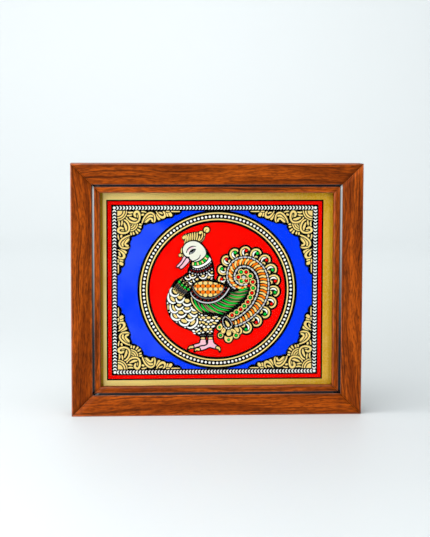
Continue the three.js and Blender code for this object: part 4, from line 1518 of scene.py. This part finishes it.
class DressBack(bpy.types.Operator):
    """Gives the board, the steel points and the hanging strip their finish, and makes the round nails"""
    bl_idname = "glass_painting.back"
    bl_label = "Back"

    def execute(self, context):
        look = settings().sheets
        give_material("backing_board", hardboard(look))
        steel = zinc_steel(look)
        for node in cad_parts:
            if node.endswith(("_point", "_point_1", "_point_2")) or node == "hanging_strip":
                give_material(node, steel)
        for side in ("left", "right"):
            node = "hanging_strip_nail_" + side
            low, high = node_box(node)
            middle = (low + high) / 2
            radius = (high[0] - low[0]) / 2
            tip = low[1] - high[1] + NAIL_HEAD_HEIGHT
            dome = [(radius * math.cos(turn), NAIL_HEAD_HEIGHT / 2 * (1 + math.sin(turn)))
                    for turn in np.linspace(0, NAIL_DOME_TURN, NAIL_DOME_RINGS)]
            profile = [(NAIL_TIP_RADIUS, tip), (NAIL_SHANK_RADIUS, tip + NAIL_POINT_LENGTH),
                       (NAIL_SHANK_RADIUS, 0), (radius, 0), *dome]
            centre = (middle[0], high[1] - NAIL_HEAD_HEIGHT, middle[2])
            piece = turned_mesh("round_nail_" + side, centre, profile, NAIL_SIDES, [steel])
            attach(piece, "root")
            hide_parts(node)
        return {"FINISHED"}


class BuildStudio(bpy.types.Operator):
    """Makes the pale floor and backdrop, the soft lights and the camera"""
    bl_idname = "glass_painting.studio"
    bl_label = "Studio"

    def execute(self, context):
        look = settings().studio
        self.make_backdrop(look)
        for name, (size, place, target) in LIGHTS.items():
            self.make_light(name + "_light", getattr(look, name + "_power"), size, place, target)
        world = bpy.data.worlds.new("studio_surround")
        world.use_nodes = True
        background = world.node_tree.nodes["Background"]
        background.inputs["Color"].default_value = SURROUND_TINT
        background.inputs["Strength"].default_value = look.surround
        context.scene.world = world
        context.scene.view_settings.view_transform = "Standard"
        context.scene.view_settings.look = "None"
        self.make_camera(look)
        return {"FINISHED"}

    @staticmethod
    def make_backdrop(look):
        """Floor and backdrop in one sheet: the profile runs along the floor, up a quarter circle and up the
        wall, and is carried sideways."""
        turn = np.linspace(0, np.pi / 2, SHEET_BEND_POINTS)
        bend = np.stack([look.floor_depth + SHEET_BEND * np.sin(turn), SHEET_BEND * (1 - np.cos(turn))], -1)
        profile = np.concatenate([[(SHEET_FRONT, 0.0), (SHEET_NEAR, 0.0)], bend,
                                  [(look.floor_depth + SHEET_BEND, SHEET_HEIGHT)]])
        across = np.linspace(-SHEET_HALF_WIDTH, SHEET_HALF_WIDTH, SHEET_COLUMNS)
        grid_x, grid_k = np.meshgrid(across, np.arange(len(profile)))
        points = np.stack([grid_x, profile[grid_k, 0], profile[grid_k, 1]], -1).reshape(-1, 3) / MM
        quads = grid_faces(len(profile), len(across), False)
        sheet = new_piece("studio_sheet", points, quads.tolist(), [studio_paper(look.floor)])

    @staticmethod
    def make_light(name, power, size, place, target):
        """A rectangular light that faces its target and isn't seen itself."""
        light = bpy.data.lights.new(name, "AREA")
        light.shape = "RECTANGLE"
        light.size, light.size_y = size
        light.energy = power
        lamp = bpy.data.objects.new(name, light)
        lamp.location = place
        lamp.rotation_euler = (Vector(place) - Vector(target)).to_track_quat("Z", "Y").to_euler()
        lamp.visible_camera = False
        bpy.context.scene.collection.objects.link(lamp)

    @staticmethod
    def make_camera(look):
        """The camera stands where the photograph was taken: about a metre away, to the left and above."""
        data = bpy.data.cameras.new("photo_camera")
        data.sensor_width = SENSOR_WIDTH
        data.lens = look.lens
        camera = bpy.data.objects.new("photo_camera", data)
        facing = (CAMERA_EYE - CAMERA_TARGET).to_track_quat("Z", "Y").to_matrix().to_4x4()
        camera.matrix_world = Matrix.Translation(CAMERA_EYE) @ facing @ Matrix.Rotation(CAMERA_ROLL, 4, "Z")
        bpy.context.scene.collection.objects.link(camera)
        bpy.context.scene.camera = camera


OPERATORS = (DressRails, DressPicture, DressGlass, DressBack, BuildStudio)


class PaintingSettings(bpy.types.PropertyGroup):
    """All settings of the framed painting."""
    frame_finish: PointerProperty(type=FrameFinish)
    paints: PointerProperty(type=PaintColours)
    sheets: PointerProperty(type=SheetFinish)
    studio: PointerProperty(type=StudioSettings)


class PaintingPanel(bpy.types.Panel):
    """Lists the steps and the settings"""
    bl_idname = "VIEW3D_PT_glass_painting"
    bl_label = "Glass Painting"
    bl_space_type = "VIEW_3D"
    bl_region_type = "UI"
    bl_category = "Glass Painting"

    def draw(self, context):
        for operator in OPERATORS:
            self.layout.operator(operator.bl_idname)
        for group in ("frame_finish", "paints", "sheets", "studio"):
            owner = getattr(context.scene.glass_painting, group)
            box = self.layout.box()
            for name in owner.__annotations__:
                box.prop(owner, name)


CLASSES = (FrameFinish, PaintColours, SheetFinish, StudioSettings, PaintingSettings, *OPERATORS,
           PaintingPanel)


def register():
    """Makes the classes and the settings known to Blender."""
    for cls in CLASSES:
        bpy.utils.register_class(cls)
    bpy.types.Scene.glass_painting = PointerProperty(type=PaintingSettings)


def unregister():
    """Takes back what register did."""
    del bpy.types.Scene.glass_painting
    for cls in reversed(CLASSES):
        bpy.utils.unregister_class(cls)


def main():
    """Builds the whole scene."""
    register()
    bpy.ops.glass_painting.studio()
    bpy.ops.glass_painting.rails()
    bpy.ops.glass_painting.picture()
    bpy.ops.glass_painting.glass()
    bpy.ops.glass_painting.back()


if __name__ == "__main__":
    main()
